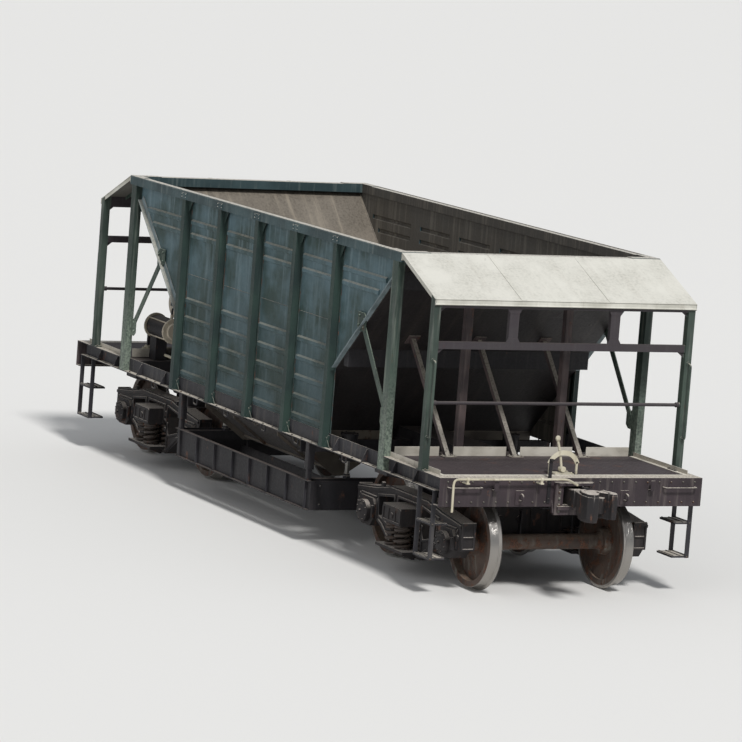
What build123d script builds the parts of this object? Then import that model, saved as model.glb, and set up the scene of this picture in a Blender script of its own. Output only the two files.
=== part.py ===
from build123d import *
import os

os.makedirs("parts", exist_ok=True)

# Open hopper wagon for ballast on two three-piece bogies.
# X runs along the wagon, Y across it, Z up; the flanges stand on z = 0, the origin is below the middle.
# All lengths are millimetres.

# Wheelsets and bogies
flange_height = 28
wheel_diameter = 950
wheel_back_to_back = 1440
wheel_width = 130
wheelbase = 1850
bogie_centre_x = 3325
journal_centre_y = 1018
journal_diameter = 130
axle_diameter = 165
wheel_seat_diameter = 194
hub_diameter = 270
axle_length = 2294
bearing_clearance = 0.5
side_frame_length = 2410
side_frame_thickness = 170
pedestal_gap = 370
box_width = 360
column_gap = 450
spring_window = 660
spring_diameter = 200
spring_height = 249
plate_clearance = 0.3
bowl_diameter = 400
centre_plate_diameter = 300
side_bearer_y = 762
side_bearer_gap = 6

# Heights above the rail
rail_z = flange_height
axle_z = rail_z + wheel_diameter / 2
spring_seat_z = rail_z + 250
bolster_end_top_z = rail_z + 690
bolster_top_z = rail_z + 755
centre_plate_z = rail_z + 780
body_bolster_bottom_z = rail_z + 830
coupler_z = rail_z + 1060
centre_sill_bottom_z = rail_z + 900
centre_sill_top_z = rail_z + 1210
side_sill_bottom_z = rail_z + 1090
side_sill_top_z = rail_z + 1250
body_top_z = rail_z + 3400

# Underframe
headstock_face_x = 4825
headstock_depth = 125
headstock_bottom_z = rail_z + 950
centre_sill_web_gap = 350
centre_sill_web = 12
centre_sill_top_width = 470
centre_sill_foot_width = 530
sill_plate = 10
sill_foot = 14
side_outer_y = 1550
sill_web = 8
deck_plate = 6
deck_corner_gap = 30

# Body
sheet = 6
post_depth = 80
side_post_pitch = 1000
posts_from_middle = 2
end_bay_length = 1450
corner_post_width = 130
end_post_width = 80
end_strut_places = [-600, 600]
end_strut_width = 110
top_rail_height = 100
top_rail_width = 100
end_rail_width = 120
slope_top_inset = 15
slope_edge_height = 640
lower_stiffener_offset = 250
slope_seat_gap = 1
brace_places = [-800, 0, 800]
brace_bar = 50
stanchion_y = 600
visor_drop = 370
visor_reach = 840
visor_overhang = 60
rib_depth = 22
rib_foot = 72
rib_crown = 36
rib_end_gap = 115
upper_rib_heights = [2900, 3050]
lower_rib_heights = [1310, 1520, 1730, 1940, 2150]

# Discharge doors
throat_half_length = 1185
throat_top_z = rail_z + 1150
hinge_z = rail_z + 1075
outer_hinge_y = 1440
inner_hinge_y = 490
door_meeting_y = 899
door_meeting_z = rail_z + 680
door_gap = 8
door_plate = 10
door_end_gap = 8
pin_diameter = 20
knuckle_diameter = 44
knuckle_length = 90
lug_plate = 12
lug_gap = 6
ridge_apex_z = rail_z + 1700
ridge_foot_y = 525
ridge_foot_z = rail_z + 1112

# Metering frame
wheel_to_meter_gap = 117
meter_board_y = 1500
meter_board = 12
meter_top_z = rail_z + 680
meter_board_height = 320
guide_end_gap = 80
lift_end_gap = 180
upright_width = 50
guide_clearance = 6
inner_board_y = 700
inner_board_height = 130
upright_face_gap = 15
upright_top_z = rail_z + 1050
lift_y = 1000
lift_cylinder_diameter = 160
rod_diameter = 50

# Air and brake gear
reservoir_diameter = 400
reservoir_length = 1500
reservoir_z = rail_z + 1850
brake_cylinder_diameter = 300
brake_cylinder_length = 480
door_cylinder_diameter = 260
door_cylinder_length = 520
door_cylinder_y = 1150
door_cylinder_z = rail_z + 1640
brake_pipe_diameter = 42
brake_pipe_y = 100
pipe_clip_places = [700, 2100, 3900]

# Couplers
coupling_plane_x = 5435
shank_start_x = 4250
shank_half_width = 65

# Places that follow from the sizes above
side_sheet_outer_y = side_outer_y - post_depth
side_sheet_inner_y = side_sheet_outer_y - sheet
full_sheet_half_length = posts_from_middle * side_post_pitch
corner_post_x = full_sheet_half_length + end_bay_length
end_rail_inner_x = corner_post_x
end_rail_outer_x = end_rail_inner_x + end_rail_width
end_post_x = end_rail_outer_x + visor_reach - visor_overhang
deck_inner_x = corner_post_x + deck_corner_gap
deck_outer_x = headstock_face_x - headstock_depth
top_rail_bottom_z = body_top_z - top_rail_height
slope_ref_z = side_sill_top_z + slope_edge_height
slope_top_x = end_rail_outer_x - slope_top_inset
slope_rise = (top_rail_bottom_z - slope_ref_z) / (slope_top_x - full_sheet_half_length)
slope_drop = sheet * (1 + slope_rise ** 2) ** 0.5
flange_radius = wheel_diameter / 2 + flange_height
meter_half_length = bogie_centre_x - wheelbase / 2 - flange_radius - wheel_to_meter_gap
guide_x = meter_half_length - guide_end_gap
lift_x = meter_half_length - lift_end_gap
hinge_stations = (-1000, 0, 1000)
step_bar = 12
step_x0 = end_post_x - 5
step_x1 = deck_outer_x - 15


def slope_x(z):
    """Place along the wagon where the upper face of the end slope reaches height z."""
    return full_sheet_half_length + (z - slope_ref_z) / slope_rise


def slope_z(x):
    """Height of the upper face of the end slope at distance x from the middle."""
    return slope_ref_z + (x - full_sheet_half_length) * slope_rise


def side_profile(points, y0, y1):
    """Prism of an outline drawn in X and Z, from y0 to y1."""
    plane = Plane(origin=(0, y0, 0), x_dir=(1, 0, 0), z_dir=(0, -1, 0))
    return extrude(plane * Polygon(*points, align=None), y1 - y0, dir=(0, 1, 0))


def cross_profile(points, x0, x1):
    """Prism of an outline drawn in Y and Z, from x0 to x1."""
    plane = Plane(origin=(x0, 0, 0), x_dir=(0, 1, 0), z_dir=(1, 0, 0))
    return extrude(plane * Polygon(*points, align=None), x1 - x0, dir=(1, 0, 0))


def plan_profile(points, z0, z1):
    """Prism of an outline drawn in X and Y, from z0 to z1."""
    return extrude(Plane.XY.offset(z0) * Polygon(*points, align=None), z1 - z0, dir=(0, 0, 1))


def block(x0, x1, y0, y1, z0, z1):
    """Rectangular bar or plate between two corners."""
    return plan_profile([(x0, y0), (x1, y0), (x1, y1), (x0, y1)], z0, z1)


def rod(start, end, diameter):
    """Round bar from one point to another."""
    start = Vector(*start)
    direction = Vector(*end) - start
    plane = Plane(origin=start, z_dir=direction)
    return extrude(plane * Circle(diameter / 2), direction.length)


def both_ends(shape):
    return [shape, mirror(shape, about=Plane.YZ)]


def both_sides(shape):
    return [shape, mirror(shape, about=Plane.XZ)]


def four_corners(shape):
    return [copy for end in both_ends(shape) for copy in both_sides(end)]


def as_one(shapes):
    """Join shapes that touch into one solid."""
    whole = shapes[0]
    for shape in shapes[1:]:
        whole = whole + shape
    return whole


def write(name, shapes):
    """One file for a node, with each of its solids."""
    solids = [solid for shape in shapes for solid in shape.solids()]
    export_step(solids[0] if len(solids) == 1 else Compound(solids), f"parts/{name}.step")


# Wheelset: axle, two wheels with flanges and coned treads, and journals, as one turned profile
def wheelset(centre_x):
    inner = wheel_back_to_back / 2
    outer = inner + wheel_width
    tread = wheel_diameter / 2
    rim_inner = tread - 70
    half = [
        # distance from the middle, radius
        (0, axle_diameter / 2),
        (inner - 60, axle_diameter / 2),
        (inner - 25, wheel_seat_diameter / 2),
        (inner - 25, hub_diameter / 2),
        (inner + 62, hub_diameter / 2 + 14),
        (inner + 22, rim_inner),
        (inner, rim_inner),
        (inner, tread + flange_height - 12),
        (inner + 14, tread + flange_height),
        (inner + 34, tread + 2),
        (outer, tread - 6),
        (outer, rim_inner),
        (inner + 48, rim_inner),
        (inner + 96, hub_diameter / 2 + 14),
        (outer + 35, hub_diameter / 2),
        (outer + 35, axle_diameter / 2),
        (journal_centre_y - 88, axle_diameter / 2),
        (journal_centre_y - 88, journal_diameter / 2),
        (axle_length / 2, journal_diameter / 2),
        (axle_length / 2, 0),
    ]
    left = [(-y, r) for y, r in reversed(half[1:-1])]
    outline = [(-axle_length / 2, 0)] + left + half
    plane = Plane(origin=(centre_x, 0, axle_z), x_dir=(0, 1, 0), z_dir=(1, 0, 0))
    axis = Axis((centre_x, 0, axle_z), (0, 1, 0))
    return revolve(plane * Polygon(*outline, align=None), axis)


# Cast side frame: arched top chord, lower chord under the springs, two columns and two pedestals
def side_frame(centre_x):
    half_length = side_frame_length / 2
    jaw_in = wheelbase / 2 - pedestal_gap / 2
    jaw_out = wheelbase / 2 + pedestal_gap / 2
    roof_z = axle_z + 155
    right = [
        (0, rail_z + 830),
        (430, rail_z + 830),
        (jaw_in + 20, rail_z + 770),
        (half_length, rail_z + 715),
        (half_length, rail_z + 430),
        (jaw_out, rail_z + 430),
        (jaw_out, roof_z),
        (jaw_in, roof_z),
        (jaw_in, rail_z + 400),
        (jaw_in - 100, rail_z + 360),
        (spring_window / 2, rail_z + 170),
        (0, rail_z + 170),
    ]
    outline = right + [(-x, z) for x, z in reversed(right[1:-1])]
    spring_top_z = spring_seat_z + spring_height + 60
    window = [
        (-spring_window / 2, spring_seat_z),
        (spring_window / 2, spring_seat_z),
        (spring_window / 2, spring_top_z - 40),
        (column_gap / 2, spring_top_z),
        (column_gap / 2, rail_z + 725),
        (-column_gap / 2, rail_z + 725),
        (-column_gap / 2, spring_top_z),
        (-spring_window / 2, spring_top_z - 40),
    ]
    side_window = [
        (column_gap / 2 + 165, rail_z + 400),
        (jaw_in - 85, rail_z + 470),
        (jaw_in - 60, rail_z + 670),
        (column_gap / 2 + 110, rail_z + 720),
        (column_gap / 2 + 90, rail_z + 600),
    ]
    y0 = journal_centre_y - side_frame_thickness / 2
    y1 = journal_centre_y + side_frame_thickness / 2
    frame = side_profile(outline, y0, y1)
    frame -= side_profile(window, y0 - 1, y1 + 1)
    frame -= side_profile(side_window, y0 - 1, y1 + 1)
    frame -= side_profile([(-x, z) for x, z in side_window], y0 - 1, y1 + 1)
    shelf = block(-spring_window / 2 + 10, spring_window / 2 - 10,
                  journal_centre_y - 290, journal_centre_y + 290, spring_seat_z - 30, spring_seat_z)
    frame = frame + shelf
    return Pos(centre_x, 0, 0) * frame


# Axle box: bored housing under the pedestal roof, closed by a round cover outside
def axle_box(centre_x, axle_x):
    x = centre_x + axle_x
    roof_z = axle_z + 155
    inner_y = journal_centre_y - 86
    outer_y = axle_length / 2 + 30
    half = box_width / 2
    outline = [
        (x - half, roof_z - 60),
        (x - half + 40, roof_z),
        (x + half - 40, roof_z),
        (x + half, roof_z - 60),
        (x + half, axle_z - 60),
        (x + half - 75, axle_z - 150),
        (x - half + 75, axle_z - 150),
        (x - half, axle_z - 60),
    ]
    box = side_profile(outline, inner_y, outer_y - 40)
    box += rod((x, outer_y - 40, axle_z), (x, outer_y, axle_z), 240)
    bore = rod((x, inner_y - 1, axle_z), (x, axle_length / 2 + 1, axle_z),
               journal_diameter + 2 * bearing_clearance)
    return box - bore


# Spring nest: seven coil springs in rows of two, three and two
def spring_nest(centre_x):
    pitch = spring_diameter + 8
    row_gap = 182
    places = [
        # along, across
        (-pitch / 2, -row_gap), (pitch / 2, -row_gap),
        (-pitch, 0), (0, 0), (pitch, 0),
        (-pitch / 2, row_gap), (pitch / 2, row_gap),
    ]
    return [
        Pos(centre_x + dx, journal_centre_y + dy, spring_seat_z + spring_height / 2)
        * Cylinder(spring_diameter / 2, spring_height)
        for dx, dy in places
    ]


# Bogie bolster: deep in the middle, ends on the springs, with centre bowl and side bearers
def bogie_bolster(centre_x):
    end_z = spring_seat_z + spring_height
    half = [
        (0, bolster_top_z),
        (560, bolster_top_z),
        (840, bolster_end_top_z),
        (journal_centre_y + 280, bolster_end_top_z),
        (journal_centre_y + 280, end_z),
        (journal_centre_y - 290, end_z),
        (520, rail_z + 420),
        (0, rail_z + 420),
    ]
    outline = half + [(-y, z) for y, z in reversed(half[1:-1])]
    bolster = cross_profile(outline, centre_x - 215, centre_x + 215)
    bowl_top = centre_plate_z + 25
    bowl = Pos(centre_x, 0, (bolster_top_z + bowl_top) / 2) * Cylinder(
        bowl_diameter / 2, bowl_top - bolster_top_z)
    recess = Pos(centre_x, 0, bowl_top) * Cylinder(
        centre_plate_diameter / 2 + 3, 2 * (bowl_top - centre_plate_z))
    bolster = bolster + bowl - recess
    bearer_top = body_bolster_bottom_z - side_bearer_gap
    bearer = block(centre_x - 110, centre_x + 110, side_bearer_y - 55, side_bearer_y + 55,
                   bolster_end_top_z - 40, bearer_top)
    for piece in both_sides(bearer):
        bolster = bolster + piece
    return bolster


# Brake beams: one bar behind each pair of wheels with its shoes, hung from the side frames
def brake_beam(centre_x, side):
    gap = 6
    reach = wheelbase / 2 - wheel_diameter / 2 - flange_height - gap
    x = centre_x + side * reach
    shoe_y = wheel_back_to_back / 2 + wheel_width / 2
    low, high = axle_z - 190, axle_z + 40
    bar = rod((x - side * 60, -shoe_y, axle_z - 75), (x - side * 60, shoe_y, axle_z - 75), 60)
    pieces = [bar]
    for y in (-shoe_y, shoe_y):
        x0, x1 = sorted((x - side * 90, x - side * 2))
        pieces.append(block(x0, x1, y - 45, y + 45, low, high))
    hanger_y = journal_centre_y - side_frame_thickness / 2
    for s in (-1, 1):
        y0, y1 = sorted((s * (shoe_y + 45), s * hanger_y))
        x0, x1 = sorted((x - side * 75, x - side * 45))
        pieces.append(block(x0, x1, y0, y1, axle_z - 95, axle_z - 55))
    return as_one(pieces)


# Centre sill: inverted trough with a top plate and outward feet, open below
def centre_sill():
    web_in = centre_sill_web_gap / 2
    web_out = web_in + centre_sill_web
    foot_top = centre_sill_bottom_z + sill_foot
    half = [
        (0, centre_sill_top_z),
        (centre_sill_top_width / 2, centre_sill_top_z),
        (centre_sill_top_width / 2, centre_sill_top_z - sill_plate),
        (web_out, centre_sill_top_z - sill_plate),
        (web_out, foot_top),
        (centre_sill_foot_width / 2, foot_top),
        (centre_sill_foot_width / 2, centre_sill_bottom_z),
        (web_in, centre_sill_bottom_z),
        (web_in, centre_sill_top_z - sill_plate),
        (0, centre_sill_top_z - sill_plate),
    ]
    outline = half + [(-y, z) for y, z in reversed(half[1:-1])]
    return cross_profile(outline, -deck_outer_x, deck_outer_x)


# Side sill: web with a lower flange along the whole side, and an upper flange beside the platforms
def side_sill():
    inner, outer = side_sheet_outer_y, side_outer_y
    low, high = side_sill_bottom_z, side_sill_top_z
    section = [
        (inner, low), (outer, low), (outer, low + sill_plate), (inner + sill_web, low + sill_plate),
        (inner + sill_web, high), (inner, high),
    ]
    sill = cross_profile(section, -deck_outer_x, deck_outer_x)
    flange = block(corner_post_x + corner_post_width / 2, deck_outer_x, inner + sill_web, outer,
                   high - sill_plate, high)
    return as_one([sill] + both_ends(flange))


def clear_of_sill(post, x, half_width):
    """Cut away what of a post would lie inside the web of the side sill."""
    web = block(x - half_width - 1, x + half_width + 1, side_sheet_outer_y - 1,
                side_sheet_outer_y + sill_web, side_sill_bottom_z, side_sill_top_z)
    return post - web


# Headstock: channel across the end, open towards the middle, with the striker frame round the shank
def headstock():
    outer = headstock_face_x
    inner = outer - headstock_depth
    low, high = headstock_bottom_z, side_sill_top_z
    outline = [
        (inner, low), (outer, low), (outer, high), (inner, high),
        (inner, high - sill_plate), (outer - sill_plate, high - sill_plate),
        (outer - sill_plate, low + sill_plate), (inner, low + sill_plate),
    ]
    beam = side_profile(outline, -side_outer_y, side_outer_y)
    striker = block(outer, outer + 45, -225, 225, coupler_z - 190, coupler_z + 150)
    opening = block(inner - 1, outer + 46, -130, 130, coupler_z - 85, coupler_z + 110)
    return beam + striker - opening


# Body bolster: box beam across the sill above a bogie, with the centre plate below
def body_bolster():
    half_width = centre_sill_foot_width / 2
    half_length = 140
    half = [
        (half_width, side_sill_top_z - deck_plate),
        (side_sheet_outer_y, side_sill_top_z - deck_plate),
        (side_sheet_outer_y, body_bolster_bottom_z + 200),
        (side_bearer_y + 130, body_bolster_bottom_z + 110),
        (side_bearer_y + 80, body_bolster_bottom_z),
        (0, body_bolster_bottom_z),
    ]
    outline = half[:-1] + [(-y, z) for y, z in reversed(half[:-1])]
    outline = outline + [(-half_width, centre_sill_bottom_z), (half_width, centre_sill_bottom_z)]
    beam = cross_profile(outline, bogie_centre_x - half_length, bogie_centre_x + half_length)
    plate_bottom = centre_plate_z + plate_clearance
    plate_height = body_bolster_bottom_z - plate_bottom
    plate = Pos(bogie_centre_x, 0, plate_bottom + plate_height / 2) * Cylinder(
        centre_plate_diameter / 2, plate_height)
    return beam + plate


# Cross bearer: channel from the centre sill out under the side sill, on each side
def cross_bearer():
    web_out = centre_sill_web_gap / 2 + centre_sill_web
    low, high = side_sill_bottom_z - 130, side_sill_bottom_z
    x = lift_x - lift_cylinder_diameter / 2
    outline = [
        (x - 70, low), (x, low), (x, high), (x - 70, high),
        (x - 70, high - 8), (x - 8, high - 8), (x - 8, low + 8), (x - 70, low + 8),
    ]
    return side_profile(outline, web_out, side_outer_y - 5)


# End platform: chequered deck with joists that stand on the centre sill
def platform():
    joist = 60
    deck = block(deck_inner_x, deck_outer_x, -side_sheet_outer_y, side_sheet_outer_y,
                 side_sill_top_z - deck_plate, side_sill_top_z)
    middle_x = (deck_inner_x + deck_outer_x - joist) / 2
    joists = [
        block(x, x + joist, -side_sheet_outer_y, side_sheet_outer_y,
              centre_sill_top_z, side_sill_top_z - deck_plate)
        for x in (deck_inner_x, middle_x, deck_outer_x - joist)
    ]
    return as_one([deck] + joists)


# Top frame: rails along both sides and across both ends
def top_frame():
    outer = block(-end_rail_outer_x, end_rail_outer_x, -side_outer_y, side_outer_y,
                  top_rail_bottom_z, body_top_z)
    inner_y = side_outer_y - top_rail_width
    inner = block(-end_rail_inner_x, end_rail_inner_x, -inner_y, inner_y,
                  top_rail_bottom_z - 1, body_top_z + 1)
    return outer - inner


# Side sheets: pressed ribs, the full-height middle sheet and the end-bay sheets cut along the slope
def press_ribs(plate, spans):
    """Press outward ribs, given as start, end and height, into a side sheet, hollow behind."""
    y = side_sheet_outer_y
    side_wall = 8
    for x0, x1, height in spans:
        z = rail_z + height
        swell = [(y, z - rib_foot / 2), (y + rib_depth, z - rib_crown / 2),
                 (y + rib_depth, z + rib_crown / 2), (y, z + rib_foot / 2)]
        plate = plate + cross_profile(swell, x0, x1)
        foot, crown = rib_foot / 2 - side_wall, rib_crown / 2 - side_wall / 2
        groove = [(y - sheet - 1, z - foot), (y + rib_depth - sheet, z - crown),
                  (y + rib_depth - sheet, z + crown), (y - sheet - 1, z + foot)]
        plate = plate - cross_profile(groove, x0 + sheet, x1 - sheet)
    return plate


def side_sheet():
    low = side_sill_bottom_z + sill_plate
    plate = block(-full_sheet_half_length, full_sheet_half_length,
                  side_sheet_inner_y, side_sheet_outer_y, low, top_rail_bottom_z)
    bays = [n * side_post_pitch for n in range(-posts_from_middle, posts_from_middle)]
    spans = [
        (x + rib_end_gap, x + side_post_pitch - rib_end_gap, height)
        for x in bays for height in lower_rib_heights + upper_rib_heights
    ]
    return press_ribs(plate, spans)


def bay_sheet():
    x0 = full_sheet_half_length
    outline = [
        (x0, slope_z(x0)), (slope_x(top_rail_bottom_z), top_rail_bottom_z), (x0, top_rail_bottom_z),
    ]
    plate = side_profile(outline, side_sheet_inner_y, side_sheet_outer_y)
    spans = [
        (x0 + rib_end_gap, slope_x(rail_z + height - rib_foot) - rib_end_gap / 2, height)
        for height in upper_rib_heights
    ]
    return press_ribs(plate, spans)


# Side post: pressed hat section with its feet on the sheet
def side_post(x):
    foot, root, crown = 82, 50, 42
    back, face = side_sheet_outer_y, side_outer_y
    outline = [
        (x - foot, back), (x - foot, back + sheet), (x - root, back + sheet), (x - crown, face),
        (x + crown, face), (x + root, back + sheet), (x + foot, back + sheet), (x + foot, back),
        (x + root - sheet, back), (x + crown - sheet, face - sheet),
        (x - crown + sheet, face - sheet), (x - root + sheet, back),
    ]
    post = plan_profile(outline, side_sill_bottom_z + sill_plate, top_rail_bottom_z)
    return clear_of_sill(post, x, foot)


# Corner post: box post from the side sill to the top rail, with its diagonal brace to the slope
def corner_post():
    half = corner_post_width / 2
    post = block(corner_post_x - half, corner_post_x + half, side_sheet_outer_y, side_outer_y,
                 side_sill_bottom_z + sill_plate, top_rail_bottom_z)
    post = clear_of_sill(post, corner_post_x, half)
    brace_top_x = full_sheet_half_length + 620
    brace_top_z = slope_z(brace_top_x) + 60
    brace_foot_z = side_sill_top_z + 310
    brace_width = 110
    brace = side_profile(
        [(brace_top_x, brace_top_z), (corner_post_x - half, brace_foot_z),
         (corner_post_x - half, brace_foot_z + brace_width), (brace_top_x + 50, brace_top_z + 60)],
        side_sheet_outer_y, side_sheet_outer_y + 12)
    return post + brace


# Slope sheet: inclined end of the load space, notched over the centre sill
def slope_sheet():
    x0, x1 = throat_half_length, slope_x(top_rail_bottom_z)
    outline = [
        (x0, slope_z(x0)), (x1, top_rail_bottom_z), (x1 + slope_drop / slope_rise, top_rail_bottom_z),
        (x0, slope_z(x0) - slope_drop),
    ]
    plate = side_profile(outline, -side_sheet_inner_y, side_sheet_inner_y)
    half = centre_sill_top_width / 2 + 2
    notch = block(x0 - 1, slope_x(centre_sill_top_z) + 40, -half, half,
                  slope_z(x0) - 40, centre_sill_top_z + 1)
    return plate - notch


# Stiffeners: channels across below the slope, and stanchions under them from the body bolster
def slope_stiffener(x):
    width, depth = 110, 90
    base_z = slope_z(x) - slope_drop
    outline = [(x, base_z), (x + width, base_z + width * slope_rise), (x + width, base_z - depth),
               (x, base_z - depth)]
    return side_profile(outline, -side_sheet_inner_y, side_sheet_inner_y)


def slope_stanchion():
    x, y, width, stiffener_depth = bogie_centre_x, stanchion_y, 80, 90
    top = slope_z(x) - slope_drop - stiffener_depth
    return block(x, x + width, y - width / 2, y + width / 2, side_sill_top_z - deck_plate, top)


# Brace: flat bar from the deck's inner edge, square up to the slope
def slope_brace(y):
    foot_x, foot_z = deck_inner_x, side_sill_top_z
    lean = (1 + slope_rise ** 2) ** 0.5

    def reach(x):
        """Where the line square to the slope from a point of the foot meets its lower face."""
        run = (slope_z(x) - slope_drop - foot_z) / (slope_rise + 1 / slope_rise)
        return x - run, foot_z + run / slope_rise

    foot_width = brace_bar * lean
    outline = [(foot_x, foot_z), (foot_x + foot_width, foot_z), reach(foot_x + foot_width), reach(foot_x)]
    return side_profile(outline, y - brace_bar / 2, y + brace_bar / 2)


# Visor: bent sheet from the top end rail down and out to the end frame
def visor():
    x0, x1 = end_rail_outer_x, end_rail_outer_x + visor_reach
    z0, z1 = body_top_z, body_top_z - visor_drop
    t = sheet
    outline = [
        (x0, z0), (x0 + t, z0), (x1, z1), (x1, z1 - 60), (x1 - t, z1 - 60),
        (x1 - t, z1 - t), (x0 + t, z0 - t - 2), (x0 + t, z0 - 80), (x0, z0 - 80),
    ]
    return side_profile(outline, -side_outer_y, side_outer_y)


def visor_underside(x):
    """Height of the lower face of the visor at distance x from the middle."""
    x0, x1 = end_rail_outer_x + sheet, end_rail_outer_x + visor_reach - sheet
    z0, z1 = body_top_z - sheet - 2, body_top_z - visor_drop - sheet
    return z0 + (x - x0) * (z1 - z0) / (x1 - x0)


# End frame: two posts, the rail under the visor, a cross bar with struts, and a handrail
def end_frame():
    half = end_post_width / 2
    x0, x1 = end_post_x - half, end_post_x + half
    rail_low = body_top_z - visor_drop - 90
    rail = side_profile(
        [(x0, rail_low), (x1, rail_low), (x1, visor_underside(x1)), (x0, visor_underside(x0))],
        -side_outer_y, side_outer_y)
    post = block(x0, x1, side_sheet_outer_y, side_outer_y, side_sill_top_z, rail_low)
    pieces = [rail] + both_sides(post)
    bar_z, bar_height = rail_z + 2550, 75
    pieces.append(block(x0 + 10, x1 - 10, -side_sheet_outer_y, side_sheet_outer_y,
                        bar_z - bar_height / 2, bar_z + bar_height / 2))
    for y in end_strut_places:
        pieces.append(block(x0 + 15, x1 - 15, y - end_strut_width / 2, y + end_strut_width / 2,
                            bar_z, rail_low))
    hand_z, hand_diameter = rail_z + 1950, 36
    pieces.append(rod((end_post_x, -side_sheet_outer_y, hand_z), (end_post_x, side_sheet_outer_y, hand_z),
                      hand_diameter))
    return as_one(pieces)


# Ridge: saddle over the centre sill between the slopes, on three diaphragms
def ridge():
    t = 8
    rise = (ridge_apex_z - ridge_foot_z) / ridge_foot_y
    fall = t * (1 + rise ** 2) ** 0.5
    length = slope_x(ridge_apex_z) + 50
    outline = [
        (-ridge_foot_y, ridge_foot_z), (0, ridge_apex_z), (ridge_foot_y, ridge_foot_z),
        (ridge_foot_y - fall / rise, ridge_foot_z), (0, ridge_apex_z - fall),
        (-ridge_foot_y + fall / rise, ridge_foot_z),
    ]
    saddle = cross_profile(outline, -length, length)
    base_z = centre_sill_top_z
    base_y = (ridge_apex_z - fall - base_z) / rise
    for x in (-900, 0, 900):
        gusset = cross_profile([(-base_y, base_z), (base_y, base_z), (0, ridge_apex_z - fall)], x - 5, x + 5)
        saddle = saddle + gusset
    z0, z1 = ridge_foot_z - 10, ridge_apex_z + 10
    room = side_profile(
        [(-slope_x(z0), z0), (slope_x(z0), z0), (slope_x(z1), z1), (-slope_x(z1), z1)],
        -ridge_foot_y - 10, ridge_foot_y + 10)
    return saddle & room


# Throat: plates that close the ends of the door troughs, and aprons over the outer hinges
def throat():
    thickness = 8
    top = slope_z(throat_half_length) - slope_drop - slope_seat_gap
    inner = centre_sill_foot_width / 2
    lip = 40
    plate = cross_profile(
        [(inner, top - 35), (inner, centre_sill_bottom_z + 110), (door_meeting_y - 60, door_meeting_z - lip),
         (door_meeting_y + 60, door_meeting_z - lip), (side_sheet_inner_y, hinge_z - 60),
         (side_sheet_inner_y, top), (inner + 10, top)],
        throat_half_length, throat_half_length + thickness)
    apron = cross_profile(
        [(side_sheet_inner_y, throat_top_z + 12), (side_sheet_inner_y, throat_top_z + 2),
         (outer_hinge_y - 38, hinge_z + 31), (outer_hinge_y - 46, hinge_z + 31)],
        -throat_half_length, throat_half_length)
    return four_corners(plate), both_sides(apron)


def door_direction(hinge_y, meeting_y):
    """Unit steps across and up from a hinge to the edge where the doors meet, and the length."""
    across = meeting_y - hinge_y
    up = door_meeting_z - hinge_z
    length = (across ** 2 + up ** 2) ** 0.5
    return across / length, up / length, length


# Discharge door: plate from its hinge to the meeting edge, with ribs below and hinge knuckles
def door(hinge_y, meeting_y):
    along_y, along_z, length = door_direction(hinge_y, meeting_y)
    turn = 1 if meeting_y < hinge_y else -1
    below_y, below_z = -along_z * turn, along_y * turn

    def at(s, n):
        return hinge_y + s * along_y + n * below_y, hinge_z + s * along_z + n * below_z

    half = throat_half_length - door_end_gap
    start = knuckle_diameter / 2 + 24
    plate = cross_profile([at(start, 0), at(length, 0), at(length, door_plate), at(start, door_plate)],
                          -half, half)
    pieces = [plate]
    for x in (-half + 5, -half / 2, half / 2 - 10, half - 15):
        pieces.append(cross_profile(
            [at(70, door_plate), at(length - 20, door_plate), at(length - 60, door_plate + 30),
             at(110, door_plate + 30)], x, x + 10))
    for x in hinge_stations:
        arm = cross_profile([at(0, -8), at(start + 60, 0), at(start + 60, door_plate), at(0, 14)],
                            x - knuckle_length / 2, x + knuckle_length / 2)
        barrel = rod((x - knuckle_length / 2, hinge_y, hinge_z), (x + knuckle_length / 2, hinge_y, hinge_z),
                     knuckle_diameter)
        pieces += [arm, barrel]
    whole = as_one(pieces)
    bore = rod((-half, hinge_y, hinge_z), (half, hinge_y, hinge_z), pin_diameter + 2 * bearing_clearance)
    return whole - bore


# Door hinges: pins held by lugs under the side sill and beside the centre sill
def hinge(hinge_y, x, outline):
    half = knuckle_length / 2 + lug_gap
    lugs = [
        cross_profile(outline, x - half - lug_plate, x - half),
        cross_profile(outline, x + half, x + half + lug_plate),
    ]
    pin = rod((x - half - lug_plate - 4, hinge_y, hinge_z), (x + half + lug_plate + 4, hinge_y, hinge_z),
              pin_diameter)
    return as_one(lugs + [pin])


def door_hinges():
    web_out = centre_sill_web_gap / 2 + centre_sill_web
    low = hinge_z - 25
    outer_outline = [
        (outer_hinge_y - 26, low), (outer_hinge_y + 28, low), (side_outer_y - 5, side_sill_bottom_z),
        (side_sheet_outer_y, side_sill_bottom_z), (side_sheet_outer_y - 4, side_sill_bottom_z + 8),
        (outer_hinge_y - 26, hinge_z + 24),
    ]
    inner_outline = [
        (web_out, hinge_z - 110), (inner_hinge_y + 26, low), (inner_hinge_y + 26, hinge_z + 24),
        (web_out, hinge_z + 24),
    ]
    pieces = []
    for x in hinge_stations:
        pieces += both_sides(hinge(outer_hinge_y, x, outer_outline))
        pieces += both_sides(hinge(inner_hinge_y, x, inner_outline))
    return pieces


# Metering frame: side boards with outward flanges, end boards, inner boards, cross bars and uprights
def meter_side_board():
    low, high = meter_top_z - meter_board_height, meter_top_z
    flange = 8
    y0 = meter_board_y
    y1 = y0 + meter_board
    section = [
        (y0, low), (side_outer_y, low), (side_outer_y, low + flange), (y1, low + flange),
        (y1, high - flange), (side_outer_y, high - flange), (side_outer_y, high), (y0, high),
    ]
    return cross_profile(section, -meter_half_length, meter_half_length)


def meter_end_board():
    return block(meter_half_length - meter_board, meter_half_length, -meter_board_y, meter_board_y,
                 meter_top_z - meter_board_height, meter_top_z)


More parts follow.
